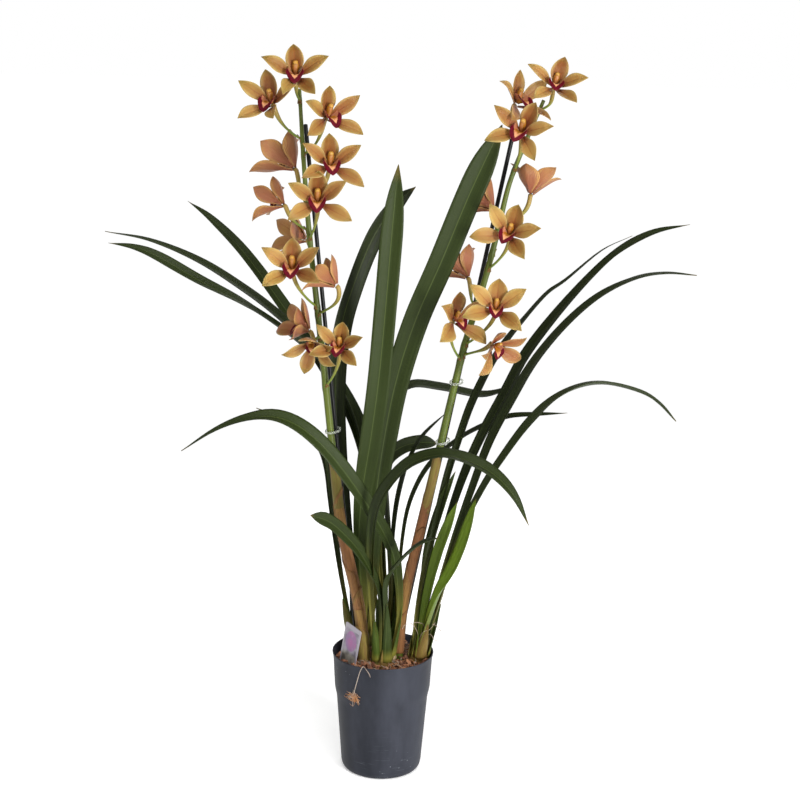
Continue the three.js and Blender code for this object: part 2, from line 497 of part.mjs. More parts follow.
// The five tepals of a bloom and the small boss that joins their feet, as one skin.
function bloomTepals(bloom) {
  const frame = bloomFrame(bloom);
  const places = bloom.tepals;
  const order = TEPALS.map((_, i) => i).sort((a, b) => places[a][0] - places[b][0]);
  const points = [RECEPTACLE.front, RECEPTACLE.back].map((z) =>
    frame.centre.clone().addScaledVector(frame.forward, z),
  );
  const faces = [];
  const feet = order.map((i) => {
    const start = points.length;
    const rows = tepalRows(frame, TEPALS[i], places[i], bloom.size ?? 1, bloom.breadth ?? 1);
    rows.forEach(({ front, back }) => points.push(...front, ...back));
    const at = (row, k) => start + 6 * row + k; // k: 0 to 2 across the front, 3 to 5 across the back
    for (let row = 0; row + 1 < rows.length; row++) {
      for (const k of [0, 1]) {
        faces.push([at(row, k), at(row, k + 1), at(row + 1, k + 1)], [at(row, k), at(row + 1, k + 1), at(row + 1, k)]);
        faces.push([at(row, k + 4), at(row, k + 3), at(row + 1, k + 4)], [at(row, k + 3), at(row + 1, k + 3), at(row + 1, k + 4)]);
      }
      faces.push([at(row, 3), at(row, 0), at(row + 1, 0)], [at(row, 3), at(row + 1, 0), at(row + 1, 3)]);
      faces.push([at(row, 2), at(row, 5), at(row + 1, 5)], [at(row, 2), at(row + 1, 5), at(row + 1, 2)]);
    }
    const tip = rows.length - 1;
    for (const k of [0, 1]) {
      faces.push([at(tip, k), at(tip, k + 1), at(tip, k + 4)], [at(tip, k), at(tip, k + 4), at(tip, k + 3)]);
      faces.push([0, at(0, k + 1), at(0, k)], [1, at(0, k + 3), at(0, k + 4)]);
    }
    return at(0, 0);
  });
  feet.forEach((foot, i) => {
    const next = feet[(i + 1) % feet.length];
    faces.push([foot + 2, 0, next], [1, foot + 5, next + 3]);
    faces.push([foot + 5, foot + 2, next], [foot + 5, next, next + 3]);
  });
  return solidOf(points, faces);
}

// The lip, from its foot under the column to its down-curled tip. Each row: distance below the
// bloom's axis, distance forward, half width, and how far its edges stand up.
const LIP = [
  [-0.2, 2.5, 1.6, 0.5],
  [3.4, 10, 7.6, 7.4],
  [6, 15.6, 9.4, 6],
  [14, 16.4, 3.4, 0.8],
];
const LIP_THICKNESS = 1;
const LIP_START = 2.5;
const COLUMN = [
  [0.8, 2.5, 1.9],
  [7, 9.4, 2.2],
  [12.5, 14.4, 2.9],
];

function bloomLip(bloom) {
  const { centre, forward, up, right } = bloomFrame(bloom);
  const size = bloom.lip ?? 1;
  const place = (x, y, z) =>
    centre
      .clone()
      .addScaledVector(right, size * x)
      .addScaledVector(up, size * y)
      .addScaledVector(forward, LIP_START + size * (z - LIP_START));
  const rows = LIP.map(([below, ahead, half, rise]) =>
    [-1, -0.5, 0.5, 1].map((s) => place(s * half, -below + rise * s * s, ahead)),
  );
  const halfThickness = LIP.map((row, i) => {
    const [before, after] = [LIP[Math.max(i - 1, 0)], LIP[Math.min(i + 1, LIP.length - 1)]];
    const [down, ahead] = [after[0] - before[0], after[1] - before[1]];
    const normal = up.clone().multiplyScalar(ahead).addScaledVector(forward, down).normalize();
    return normal.multiplyScalar(LIP_THICKNESS / 2);
  });
  const column = loft(
    COLUMN.map(([above, ahead, radius]) => ringRound(place(0, above, ahead), forward, size * radius, 5, up)),
  );
  return union([blade(rows, halfThickness), column]);
}

// ---------------------------------------------------------------- bark, label and loose root
// Bark chips and coir fill the pot to just under its lip. Everything that stands in the bark
// has a plain hole of its own.
function barkBlock() {
  const steps = POT.sides;
  const wall = POT.inside.filter(([, z]) => z <= BARK.top).map(([r, z]) => [r - GAP / Math.cos(Math.PI / steps), z]);
  wall[wall.length - 1] = [wall[wall.length - 1][0], POT.inside[POT.inside.length - 1][1] + GAP];
  const rings = [...wall.map(([r, z]) => ({ r, z, rough: 0 })).reverse()];
  BARK.rings.forEach((r) => rings.push({ r, z: BARK.top - 1, rough: BARK.relief }));
  const points = [vec(0, 0, rings[0].z)];
  rings.forEach(({ r, z, rough }, i) => {
    for (let k = 0; k < steps; k++) {
      const angle = (2 * Math.PI * k) / steps;
      points.push(vec(r * Math.sin(angle), -r * Math.cos(angle), z + rough * wobble(i, k)));
    }
  });
  points.push(vec(0, 0, BARK.top));
  const faces = [];
  for (let k = 0; k < steps; k++) {
    const next = (k + 1) % steps;
    faces.push([0, 1 + next, 1 + k]);
    for (let i = 0; i + 1 < rings.length; i++) {
      const [a, b] = [1 + i * steps + k, 1 + i * steps + next];
      faces.push([a, b, b + steps], [a, b + steps, a + steps]);
    }
    const last = 1 + (rings.length - 1) * steps;
    faces.push([last + k, last + next, points.length - 1]);
  }
  return solidOf(points, faces);
}

// The hole for the foot of a spike and its sheaths.
function spikeHole(side) {
  const curve = spikeCurve(side);
  const [foot, top] = [curve.getPoint(0), curve.getPoint(0.1)];
  const axis = top.clone().sub(foot).normalize();
  foot.addScaledVector(axis, -GAP);
  return loft([foot, top].map((end) => ringRound(end, axis, SHEATH.hole, SPIKE_SIDES)));
}

function bark() {
  const cutters = [
    ...Object.values(GROWTHS).map((place) => turned(bulbProfile(place, GAP), 10, place.x, place.y)),
    ...["left", "right"].map((side) => stake(side, GAP)),
    ...["left", "right"].map(spikeHole),
    labelPlate(GAP),
  ];
  return cutters.reduce((sum, cutter) => sum.subtract(cutter), barkBlock());
}

// A stiff card plant label, pushed into the bark at the front left of the pot.
const LABEL = { width: 29, height: 62, thickness: 0.9, at: [-38.7, -23.4, 153], bearing: -50, lean: 4, tilt: 9 };
function labelPlate(grow = 0) {
  const { width, height, thickness } = LABEL;
  const plate = new THREE.BoxGeometry(width + 2 * grow, thickness + 2 * grow, height + 2 * grow);
  plate.rotateY(rad(LABEL.tilt));
  plate.rotateX(rad(-LABEL.lean));
  plate.rotateZ(rad(LABEL.bearing));
  plate.translate(...LABEL.at);
  return solidFromGeometry(plate);
}

// A loose root with a tuft of coir, hanging over the lip down the front of the pot.
const ROOT_STRANDS = [
  [[-20, -48, 141], [-22, -56.3, 147], [-25.8, -55, 139], [-29.8, -50.8, 122], [-32.5, -48.4, 109]],
  [[-32, -48.9, 112], [-36.1, -45.6, 106], [-39.7, -42.3, 101]],
  [[-32, -48.9, 112], [-34, -47.2, 104], [-34.3, -46, 98]],
  [[-31.5, -49.3, 112], [-29, -50.5, 106], [-26.3, -51.6, 101]],
];
function looseRoot() {
  return union(ROOT_STRANDS.map((path) => stem(smoothCurve(path), () => 0.7, 4, path.length)));
}

// ---------------------------------------------------------------- the whole plant
const plant = new THREE.Group();
const add = (name, solid, material) => plant.add(meshOf(name, solid, material));
const numbered = (i) => String(i + 1).padStart(2, "0");

add("pot", pot(), PLASTIC);
add("potting_bark", bark(), BARK_BROWN);
add("plant_label", labelPlate(), LABEL_CARD);
add("loose_root", looseRoot(), ROOT_TAN);
for (const name of Object.keys(GROWTHS)) add("growth_" + name, growth(name), LEAF_GREEN);
for (const [name, height] of Object.entries(TIES)) add("tie_" + name, tie(name.split("_")[0], height), TIE_CLEAR);
for (const side of ["left", "right"]) {
  add("spike_" + side, spike(side), SPIKE_GREEN);
  add("sheaths_" + side, sheaths(side), SHEATH_TAN);
  add("stake_" + side, stake(side), STAKE_BLACK);
  BLOOMS[side].forEach((bloom, i) => {
    const group = TANGLED[side].find((pair) => pair.includes(i)) ?? [i];
    if (group[0] === i) {
      const name = ["bloom", side, ...group.map(numbered)].join("_");
      add(name, union(group.map((member) => bloomTepals(BLOOMS[side][member]))), TEPAL_OCHRE);
    }
    add("lip_" + side + "_" + numbered(i), bloomLip(bloom), LIP_MAROON);
  });
}

export default plant;
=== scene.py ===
import math
import random

import bmesh
import bpy
from mathutils import Matrix, Quaternion, Vector, noise


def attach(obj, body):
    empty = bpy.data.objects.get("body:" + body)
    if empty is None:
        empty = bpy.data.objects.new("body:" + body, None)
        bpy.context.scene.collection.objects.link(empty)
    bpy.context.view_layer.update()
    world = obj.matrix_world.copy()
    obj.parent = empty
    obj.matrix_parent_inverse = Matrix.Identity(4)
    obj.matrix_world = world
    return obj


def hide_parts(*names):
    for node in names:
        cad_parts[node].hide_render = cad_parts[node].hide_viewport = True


# A potted cymbidium orchid with two staked flower spikes. Lengths are in millimetres until a
# mesh is made. +Z is up, +X to the viewer's right, -Y towards the viewer.
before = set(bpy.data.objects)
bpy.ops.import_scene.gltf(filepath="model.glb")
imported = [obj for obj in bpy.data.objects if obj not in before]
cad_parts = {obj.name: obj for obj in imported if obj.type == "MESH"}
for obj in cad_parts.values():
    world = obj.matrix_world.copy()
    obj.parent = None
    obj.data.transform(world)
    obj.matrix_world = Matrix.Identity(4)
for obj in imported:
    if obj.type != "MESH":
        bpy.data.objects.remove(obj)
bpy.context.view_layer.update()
MM = 0.001

# ---- driving dimensions
POT_OUTSIDE = [(44, 0), (47.4, 5), (54, 91), (56.4, 101), (58.2, 134), (58.8, 140), (60, 145)]
POT_INSIDE = [(58.6, 145), (56.6, 134), (54.9, 101.5), (52.5, 91.5), (45.7, 5), (44, 2.2)]
POT_SEGMENTS = 128
DRAIN = {"ring": 30, "radius": 4.5, "count": 5, "turn": 18}
BARK_TOP = 137
STAKE_RADIUS = 2.4
SPIKE_FOOT_RADIUS, SPIKE_TIP_RADIUS = 5.2, 2.0
SPIKE_STEPS = 18  # steps that the sheaths are counted in
SPIKE_TOP = 786  # stalks leave the spikes below this height
LEAF_THICKNESS = 1.1
TEPAL_LENGTH, TEPAL_WIDTH, TEPAL_THICKNESS = 42, 20, 0.9
RECEPTACLE_RADIUS, RECEPTACLE_BACK = 2.6, -3.2
GAP = 0.35  # between the pot and the bark, and between a stalk's end and its bloom
BULB_FOOT = 110
TORN_SCALES = 5  # papery scales round each bulb

GROWTHS = {
    "left": {"x": -29, "y": 19, "radius": 12, "neck": 156},
    "centre": {"x": -1, "y": -19, "radius": 11.5, "neck": 155},
    "back": {"x": 7, "y": 32, "radius": 13, "neck": 160},
    "right": {"x": 43, "y": -2, "radius": 11.5, "neck": 157},
}


def strap(width, edge, twist, tone, path, taper=0.6):
    """One strap leaf. edge: the bearing that its right edge faces at the foot. twist: how far it
    turns from there, evenly spaced along it. tone: from 0, dark, to 1, pale, and on to young
    green. taper: where it starts to narrow to its tip."""
    return {"width": width, "edge": edge, "twist": twist, "tone": tone, "path": path,
            "taper": taper}


LEAVES = {
    "left": [
        strap(15, 90, [-50, -40, -20, -10], 0.45, [[-34, 15, 143], [-50, 8, 218], [-60, 10, 278],
              [-66, 12, 326], [-71, 12, 368], [-83, 9, 396], [-101, 0, 415], [-121, -10, 428],
              [-148, -20, 441]]),
        strap(27, 0, [40, 25, 5, -5, 0], 0.8, [[-26, 14, 143], [-27, 14, 207], [-31, 10, 271],
              [-28, 2, 335], [-18, -10, 409], [-10, -16, 480], [-4, -18, 559], [1, -16, 636],
              [7, -10, 716]], taper=0.86),
        strap(31, 0, [50, 30, 5, 0, -10], 0.6, [[-22, 21, 143], [-17, 20, 207], [-16, 16, 269],
              [-12, 12, 330], [-3, 8, 403], [10, 4, 474], [30, -6, 544], [57, -16, 612],
              [86, -22, 688], [118, -26, 762]], taper=0.9),
        strap(25, 0, [40, 40, 30, 35, 20], 0.12, [[-31, 24, 143], [-38, 28, 209], [-49, 28, 295],
              [-58, 28, 392], [-61, 30, 463], [-56, 35, 522], [-44, 42, 568], [-22, 54, 625],
              [4, 66, 664], [27, 78, 684]], taper=0.75),
    ],
    "centre": [
        strap(21, 90, [-50, -65, -60, -45, -20, -15], 0.75, [[8, -16, 143], [16, -18, 195],
              [15, -24, 240], [8, -34, 280], [-11, -50, 323], [-38, -66, 370], [-68, -76, 411],
              [-96, -82, 436], [-124, -86, 447], [-155, -90, 444], [-187, -94, 432],
              [-222, -98, 410]]),
        strap(22, -105, [80, 75, 40, 15, 25, 50], 0.5, [[-6, -22, 143], [-12, -38, 220],
              [-14, -58, 293], [-9, -74, 341], [5, -90, 374], [27, -104, 402], [54, -114, 415],
              [77, -122, 415], [101, -128, 408], [122, -133, 395], [139, -137, 376],
              [154, -140, 347]]),
        strap(17, 120, [-30, -50, -75, -70], 0.6, [[-5, -26, 143], [-5, -38, 208],
              [-10, -48, 246], [-27, -62, 285], [-44, -76, 311], [-62, -90, 331],
              [-81, -104, 342]], taper=0.86),
        strap(19, -130, [30, 25, 20, 15], 0.55, [[4, -25, 143], [5, -37, 208], [5, -45, 246],
              [15, -58, 270], [31, -72, 293], [45, -84, 307], [59, -96, 316]]),
    ],
    "back": [
        strap(18, 58, [-60, -35, -25, -25], 0.5, [[1, 27, 143], [-8, 32, 248], [-22, 48, 342],
              [-43, 66, 410], [-77, 80, 469], [-124, 92, 535], [-173, 104, 598], [-213, 116, 636],
              [-243, 126, 657]]),
        strap(17, 90, [-60, -40, -30, -25, -20], 0.3, [[4, 33, 143], [-3, 42, 234],
              [-12, 52, 330], [-30, 60, 400], [-60, 66, 454], [-99, 68, 501], [-134, 66, 534],
              [-169, 60, 562], [-219, 50, 595], [-275, 40, 620], [-324, 30, 631]]),
        strap(17, 90, [-60, -45, -20, -6, -55, -50], 0.4, [[-2, 24, 143], [-11, 28, 246],
              [-22, 36, 343], [-38, 44, 417], [-66, 52, 467], [-104, 54, 501], [-133, 52, 524],
              [-172, 38, 551], [-216, 24, 577], [-259, 10, 605], [-285, 0, 617],
              [-313, -10, 623]]),
        strap(19, -40, [10, 30, 60, 60], 0.3, [[4, 36, 143], [-3, 44, 243], [-9, 58, 312],
              [-4, 80, 350], [13, 96, 366], [37, 112, 370], [61, 126, 366]], taper=0.85),
        strap(20, -90, [30, 20, 20, 20, 0], 0.3, [[9, 36, 143], [10, 46, 218], [4, 66, 299],
              [-2, 90, 367], [4, 112, 417], [27, 122, 438], [63, 127, 435], [112, 127, 427],
              [142, 122, 436], [161, 117, 449]]),
        strap(11, -90, [60, 40, 15, 25, 30], 0.25, [[14, 29, 143], [18, 33, 224], [25, 44, 294],
              [38, 52, 334], [58, 60, 364], [89, 66, 390], [119, 60, 408], [144, 50, 420],
              [178, 40, 426], [208, 25, 432]]),
        strap(11, -90, [50, 40, 20, 20], 0.3, [[9, 41, 143], [9, 52, 220], [12, 64, 290],
              [20, 74, 336], [31, 82, 364], [45, 90, 387], [71, 98, 413]]),
    ],
    "right": [
        strap(14, -90, [60, 55, 35, 10, 0], 0.3, [[37, -9, 143], [39, -16, 190], [47, -8, 247],
              [59, 6, 299], [72, 18, 355], [87, 26, 405], [99, 32, 440], [117, 38, 479],
              [136, 42, 511], [155, 45, 535], [181, 48, 566], [203, 50, 583], [243, 54, 618],
              [277, 58, 635]]),
        strap(20, -90, [50, 45, 35, 25, 15, 45], 0.25, [[43, 4, 143], [56, 14, 215],
              [73, 22, 287], [92, 28, 350], [113, 32, 402], [138, 34, 452], [160, 36, 497],
              [191, 38, 542], [229, 40, 587], [263, 40, 620], [299, 38, 642], [338, 34, 652]]),
        strap(19, -90, [50, 40, 30, 20, 5, 15], 0.35, [[46, 0, 143], [64, 0, 215], [83, 2, 283],
              [102, 4, 344], [120, 4, 399], [141, 2, 447], [165, -4, 495], [197, -12, 539],
              [233, -20, 575], [270, -28, 597], [301, -35, 605], [335, -42, 605]]),
        strap(19, -105, [50, 45, 35, 25, 0, -30, -40], 0.6, [[48, -6, 143], [70, -20, 229],
              [88, -32, 300], [111, -45, 358], [133, -55, 399], [158, -65, 440], [180, -75, 468],
              [206, -85, 486], [235, -95, 493], [270, -105, 487], [291, -110, 476],
              [309, -113, 458]]),
        strap(27, -120, [40, 45, 50, 50], 1.4, [[43, -9, 143], [62, -36, 222], [76, -52, 258],
              [88, -64, 294], [96, -74, 327], [100, -82, 358]]),
        strap(13, -90, [60, 60, 60, 60], 1.0, [[39, 3, 143], [46, 6, 205], [52, 10, 271],
              [66, 12, 325], [80, 14, 362]]),
        strap(14, -90, [60, 60, 60, 60], 1.2, [[40, -11, 143], [49, -22, 214], [60, -30, 272],
              [71, -36, 310], [81, -40, 341]]),
    ],
}

# slack: how loosely the sheaths lie.
SPIKES = {
    "left": {
        "path": [[-20, -14, 112], [-28, -14, 200], [-49, -13, 293], [-60, -12, 377],
                 [-69, -11, 454], [-80, -10, 550], [-90, -9, 635], [-97, -9, 718],
                 [-102, -10, 795]],
        "stake": [[-18, 1, 30], [-96, 1, 757]],
        # Tones from the foot up. From 0 to 1.25: olive, tan, terracotta, olive brown, bleached.
        "sheaths": [0.16, 0.3, 0.5, 0.56, 0.35, 0.08],
        "slack": 0.85,
    },
    "right": {
        "path": [[17.5, -2, 112], [22.5, -2, 200], [38.5, -1, 285], [55, -1, 365], [70, 0, 440],
                 [86, 1, 515], [104, 2, 580], [118, 2, 640], [130, 2, 697], [148, 2, 747],
                 [164, 0, 788]],
        "stake": [[-4, 12, 30], [132, 14, 746]],
        "sheaths": [0.56, 0.4, 0.66, 0.62, 0.95],
        "slack": 0.4,
    },
}
TIES = {"left": 413, "right": 400, "right_top": 470}


def flower(at, turn, lift, drop, tepals, roll=0, size=1, breadth=1, lip=1, blush=0.12):
    """One bloom. at: where its tepals join. turn, lift, roll: the way it faces. drop: how far
    below it the stalk leaves the spike. tepals: bearing and lean of each, as in TEPALS.
    breadth: how full its tepals are. lip: the size of its lip. blush: how rosy it is."""
    return {"at": at, "turn": turn, "lift": lift, "drop": drop, "tepals": tepals, "roll": roll,
            "size": size, "breadth": breadth, "lip": lip, "blush": blush}


BELL = [[0, 46], [68, 48], [140, 46], [-140, 46], [-68, 48]]
BLOOMS = {
    "left": [
        flower([-105, -24, 808], 0, 25, 24, [[-3, 46], [68, 34], [141, 36], [-160, 46], [-72, 38]]),
        flower([-131, -14, 778], -25, 22, 36,
               [[-5, 30], [70, 35], [140, 44], [-140, 40], [-60, 44]]),
        flower([-72, -16, 764], 36, 18, 38,
               [[-10, 34], [60, 46], [132, 38], [-118, 20], [-66, 30]]),
        flower([-67, -36, 714], 12, 22, 44, [[-3, 38], [65, 44], [124, 20], [-118, 34], [-60, 38]]),
        flower([-108, 4, 708], -122, 36, 34, [[-2, 44], [68, 46], [142, 44], [-142, 44], [-70, 46]],
               size=1.16, breadth=1.35, lip=0.9, blush=0.45),
        flower([-120, 0, 668], -120, 20, 26, [[-6, 44], [70, 46], [148, 44], [-142, 44], [-72, 46]],
               size=0.9, breadth=1.3, lip=0.7, blush=0.6),
        flower([-79, -46, 676], 0, 18, 42, [[0, 38], [60, 40], [120, 16], [-126, 36], [-66, 44]],
               breadth=1.08),
        flower([-97, 28, 626], -70, 20, 30, [[-8, 44], [62, 48], [132, 48], [-138, 46], [-68, 48]],
               breadth=1.35, lip=0.8, blush=0.7),
        flower([-106, -46, 602], -3, 25, 44, [[0, 38], [58, 38], [118, 36], [-128, 34], [-64, 42]],
               breadth=1.06),
        flower([-59, -42, 586], -98, 38, 36, [[4, 44], [72, 48], [142, 46], [-140, 46], [-66, 48]],
               size=0.9, breadth=1.3, lip=0.7, blush=0.5),
        flower([-90, -16, 530], -80, 28, 18, [[-4, 38], [54, 46], [104, 30], [-130, 46], [-64, 44]],
               breadth=1.3, lip=0.95, blush=0.95),
        flower([-54, -42, 516], -8, 20, 48, [[5, 38], [64, 44], [126, 40], [-118, 42], [-56, 44]],
               roll=6, size=0.9, lip=0.85),
        flower([-84, -33, 521], -14, -32, 2, [[-2, 44], [66, 36], [122, 36], [-166, 42], [-94, 42]],
               size=0.85, breadth=1.2, lip=0.6, blush=0.1),
    ],
    "right": [
        flower([173, -16, 802], 8, 34, 24, [[4, 46], [82, 46], [140, 34], [-146, 30], [-76, 36]],
               roll=14, size=0.93, lip=0.9),
        flower([133, -10, 783], 46, 30, 36, [[-16, 38], [56, 46], [146, 42], [-136, 20], [-74, 30]],
               roll=10, blush=0.3),
        flower([138, -34, 754], -14, 18, 40, [[14, 30], [70, 36], [130, 28], [-128, 38], [-66, 44]],
               roll=18),
        flower([154, 1, 686], 146, 66, 34, BELL, size=0.95, breadth=1.5, lip=0.8, blush=0.45),
        flower([112, 4, 668], -110, 35, 48, [[0, 44], [70, 48], [140, 40], [-132, 44], [-66, 48]],
               breadth=1.4, lip=0.8, blush=0.6),
        flower([129, -36, 644], -14, 18, 42, [[4, 32], [62, 34], [122, 38], [-122, 26], [-58, 44]],
               roll=20, breadth=1.12, lip=0.9),
        flower([87, 10, 590], -130, 45, 30, [[-4, 44], [62, 48], [128, 36], [-130, 40], [-68, 48]],
               breadth=1.4, lip=0.8, blush=0.6),
        flower([117, -42, 562], -2, 22, 46, [[0, 34], [56, 36], [128, 36], [-112, 34], [-58, 38]],
               roll=4, breadth=1.15, lip=0.85),
        flower([72, -24, 545], 42, 18, 46, [[-4, 34], [60, 46], [150, 40], [-118, 22], [-64, 36]],
               breadth=1.25, lip=0.8, blush=0.25),
        flower([116, -26, 520], 40, -24, 20,
               [[-22, 26], [44, 42], [110, 36], [-136, 34], [-84, 36]],
               size=0.9, breadth=1.2, lip=0.75, blush=0.5),
    ],
}

# Neighbours whose tepals are caught in one another share a node. Counted from 0.
TANGLED = {"left": [[3, 6], [11, 12]], "right": [[1, 2]]}

# Shares of the full length and width. outline: share of the width, evenly spaced from foot to tip.
# gold: how golden one usually is.
DORSAL_SEPAL = {
    "length": 0.86, "width": 1, "hollow": 0.3, "curl": 12, "ahead": 0, "wave": 0.3, "gold": 0.05,
    "outline": [0.22, 0.4, 0.62, 0.82, 0.95, 1, 0.97, 0.88, 0.7, 0.42, 0.04],
}
PETAL = {
    "length": 1, "width": 0.76, "hollow": 0.16, "curl": -14, "ahead": 0.9, "wave": 0.7, "gold": 0.6,
    "outline": [0.2, 0.32, 0.52, 0.74, 0.9, 1, 1, 0.9, 0.7, 0.4, 0.03],
}
LATERAL_SEPAL = {
    "length": 1, "width": 0.82, "hollow": 0.2, "curl": -16, "ahead": 0, "wave": 0.6, "gold": 0.6,
    "outline": [0.18, 0.28, 0.44, 0.64, 0.84, 0.98, 1, 0.92, 0.74, 0.44, 0.03],
}
# Clockwise from the top, as every bloom lists them.
TEPALS = [DORSAL_SEPAL, PETAL, LATERAL_SEPAL, LATERAL_SEPAL, PETAL]
# The lip from foot to tip, evenly spaced: below the axis, ahead, half width, rise of the edges.
LIP = [
    [-0.2, 2.5, 1.6, 0.5], [0.9, 5, 4.8, 5.2], [2.2, 7.6, 7, 9.6], [3.2, 10.2, 7.8, 10.4],
    [4, 12.6, 7.6, 8], [5.4, 14.6, 8.8, 7.6], [8, 16, 9.6, 6.8], [11, 16.6, 7.8, 4.4],
    [13.4, 16.6, 4.8, 2], [14.8, 16.4, 0.9, 0.2],
]
LIP_START = 2.5  # how far ahead of the bloom's centre the lip is hinged
# The column, likewise: above the axis, ahead, radius.
COLUMN = [
    [0.8, 2.5, 2], [3.6, 4.8, 2.7], [6.6, 7.8, 3.3], [9.6, 11, 3.4], [11.8, 13.4, 3],
    [12.5, 14.4, 2.5],
]
COLUMN_REACH = 0.84  # the share of that length that shows past the lip's hinge
LABEL = {
    "width": 29, "height": 62, "thickness": 0.9, "corner": 2.0, "at": (-38.7, -23.4, 153),
    "bearing": -50, "lean": 4, "tilt": 9,
}


# ---- curves and numbers
def mix(a, b, t):
    return a + (b - a) * t


def clamp(x, low=0.0, high=1.0):
    return max(low, min(high, x))


def ease(low, high, x):
    t = clamp((x - low) / (high - low))
    return t * t * (3 - 2 * t)


def spline(values, t):
    """The value at t, from 0 to 1, on a smooth line through evenly spaced numbers or vectors."""
    last = len(values) - 1
    at = clamp(t) * last
    i = min(int(at), last - 1)
    w = at - i
    b, c = values[i], values[i + 1]
    a = values[i - 1] if i > 0 else b * 2 - c
    d = values[i + 2] if i + 2 <= last else c * 2 - b
    square = (a * 2 - b * 5 + c * 4 - d) * w * w
    cube = (b * 3 - a - c * 3 + d) * w ** 3
    return (b * 2 + (c - a) * w + square + cube) * 0.5


def rows_at(table, t):
    return [spline([row[k] for row in table], t) for k in range(len(table[0]))]


def level_line(values, t):
    """The value at t on straight lines through evenly spaced numbers."""
    at = min(t, 0.9999) * (len(values) - 1)
    i = int(at)
    return mix(values[i], values[min(i + 1, len(values) - 1)], at - i)


def shares(steps):
    """From 0 to 1 in even steps, with both ends."""
    return [i / steps for i in range(steps + 1)]


def across_steps(count):
    """From -1 to 1 in even steps, with both ends."""
    return [2 * t - 1 for t in shares(count - 1)]


def angles(count):
    """Evenly spaced angles all the way round."""
    return [2 * math.pi * k / count for k in range(count)]


def polar(radius, angle, x=0.0, y=0.0):
    """The place at a radius and an angle from x and y."""
    return x + radius * math.cos(angle), y + radius * math.sin(angle)


def way(angle):
    """The level direction at an angle from +X towards +Y."""
    return Vector((*polar(1, angle), 0))


def square_to(tangent, direction):
    """The direction, turned square to a tangent."""
    return (direction - tangent * direction.dot(tangent)).normalized()


def swing(centre, first, other, radius, angle):
    """A point on the circle round centre that runs from first towards other."""
    return centre + first * (radius * math.cos(angle)) + other * (radius * math.sin(angle))


class Line:
    """A smooth line through points, with its point and direction at t from 0 to 1."""

    def __init__(self, path):
        self.path = [Vector(p) for p in path]

    def point(self, t):
        return spline(self.path, t)

    def tangent(self, t):
        return (self.point(min(t + 0.002, 1)) - self.point(max(t - 0.002, 0))).normalized()

    def at_height(self, height):
        low, high = 0.0, 1.0
        for _ in range(24):
            middle = (low + high) / 2
            if self.point(middle).z < height:
                low = middle
            else:
                high = middle
        return low


# ---- pieces from points and faces
MARKS = ("along", "across", "back", "tone", "edge")


def turn_outwards(mesh):
    shape = bmesh.new()
    shape.from_mesh(mesh)
    bmesh.ops.recalc_face_normals(shape, faces=shape.faces)
    shape.to_mesh(mesh)
    shape.free()


def in_scene(name, data):
    made = bpy.data.objects.new(name, data)
    bpy.context.scene.collection.objects.link(made)
    return made


class Shell:
    """Points, faces and per-point marks of one piece. Materials read the marks."""

    def __init__(self):
        self.points, self.faces, self.finishes = [], [], []
        self.marks = {name: [] for name in MARKS}

    def add(self, points, faces, finish=0, **marks):
        first = len(self.points)
        self.points += [Vector(p) * MM for p in points]
        self.faces += [[first + i for i in face] for face in faces]
        self.finishes += [finish] * len(faces)
        for name in MARKS:
            value = marks.get(name, 0.0)
            self.marks[name] += value if isinstance(value, list) else [value] * len(points)

    def mesh(self, name):
        made = bpy.data.meshes.new(name)
        made.from_pydata(self.points, [], self.faces)
        return made

    def piece(self, name, materials, slot, *nodes, smooth=True):
        mesh = self.mesh(name)
        for material in materials:
            mesh.materials.append(material)
        mesh.polygons.foreach_set("material_index", self.finishes)
        for mark, values in self.marks.items():
            mesh.attributes.new(mark, "FLOAT", "POINT").data.foreach_set("value", values)
        turn_outwards(mesh)
        if smooth:
            mesh.shade_smooth()
        made = in_scene(name, mesh)
        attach(made, "root")
        if nodes:
            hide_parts(*nodes)
        return made


def sheet_faces(count, width):
    """The faces of a closed sheet: count rows of width points, first in front, then behind."""
    other = count * width
    faces = []
    for i in range(count - 1):
        for j in range(width - 1):
            a = i * width + j
            faces.append([a, a + 1, a + width + 1, a + width])
            faces.append([a + other, a + width + other, a + width + 1 + other, a + 1 + other])
        for a, b in ((i * width, (i + 1) * width), ((i + 2) * width - 1, (i + 1) * width - 1)):
            faces.append([a, b, b + other, a + other])
    for i in (0, count - 1):
        for j in range(width - 1):
            a = i * width + j
            faces.append([a, a + other, a + 1 + other, a + 1])
    return faces


def ring_faces(count, sides, first=0, closed=False):
    """The faces between count rings of points, and from the last ring to the first if closed."""
    faces = []
    for i in range(count if closed else count - 1):
        a, b = first + i * sides, first + (i + 1) % count * sides
        for k in range(sides):
            j = (k + 1) % sides
            faces.append([a + k, a + j, b + j, b + k])
    return faces


def add_sheet(shell, rows, across, out, thickness, edge=None, back=1.0, **more):
    """A thin closed sheet. rows: points across it, from foot to tip. out(i, p): out of its front
    at point p of row i. thickness(t, s), edge(t, s): at share t along and s, -1 to 1, across."""
    points, along, side, backs, edges = [], [], [], [], []
    for layer in (1, -1):
        for i, t in enumerate(shares(len(rows) - 1)):
            for s, p in zip(across, rows[i]):
                points.append(p + out(i, p) * (layer * thickness(t, s) / 2))
                along.append(t)
                side.append(s)
                backs.append(0.0 if layer == 1 else back)
                edges.append(edge(t, s) if edge else 0.0)
    faces = sheet_faces(len(rows), len(across))
    shell.add(points, faces, along=along, across=side, back=backs, edge=edges, **more)


def add_blade(shell, rows, across, normals, thickness, **more):
    """A sheet with one normal for each row."""
    add_sheet(shell, rows, across, lambda i, p: normals[i], thickness, **more)


def add_sleeve(shell, rows, across, middle, thickness, **more):
    """A sheet rolled round a line of middle points, one for each row."""
    add_sheet(shell, rows, across, lambda i, p: (p - middle[i]).normalized(),
              lambda t, s: thickness, back=0.0, **more)


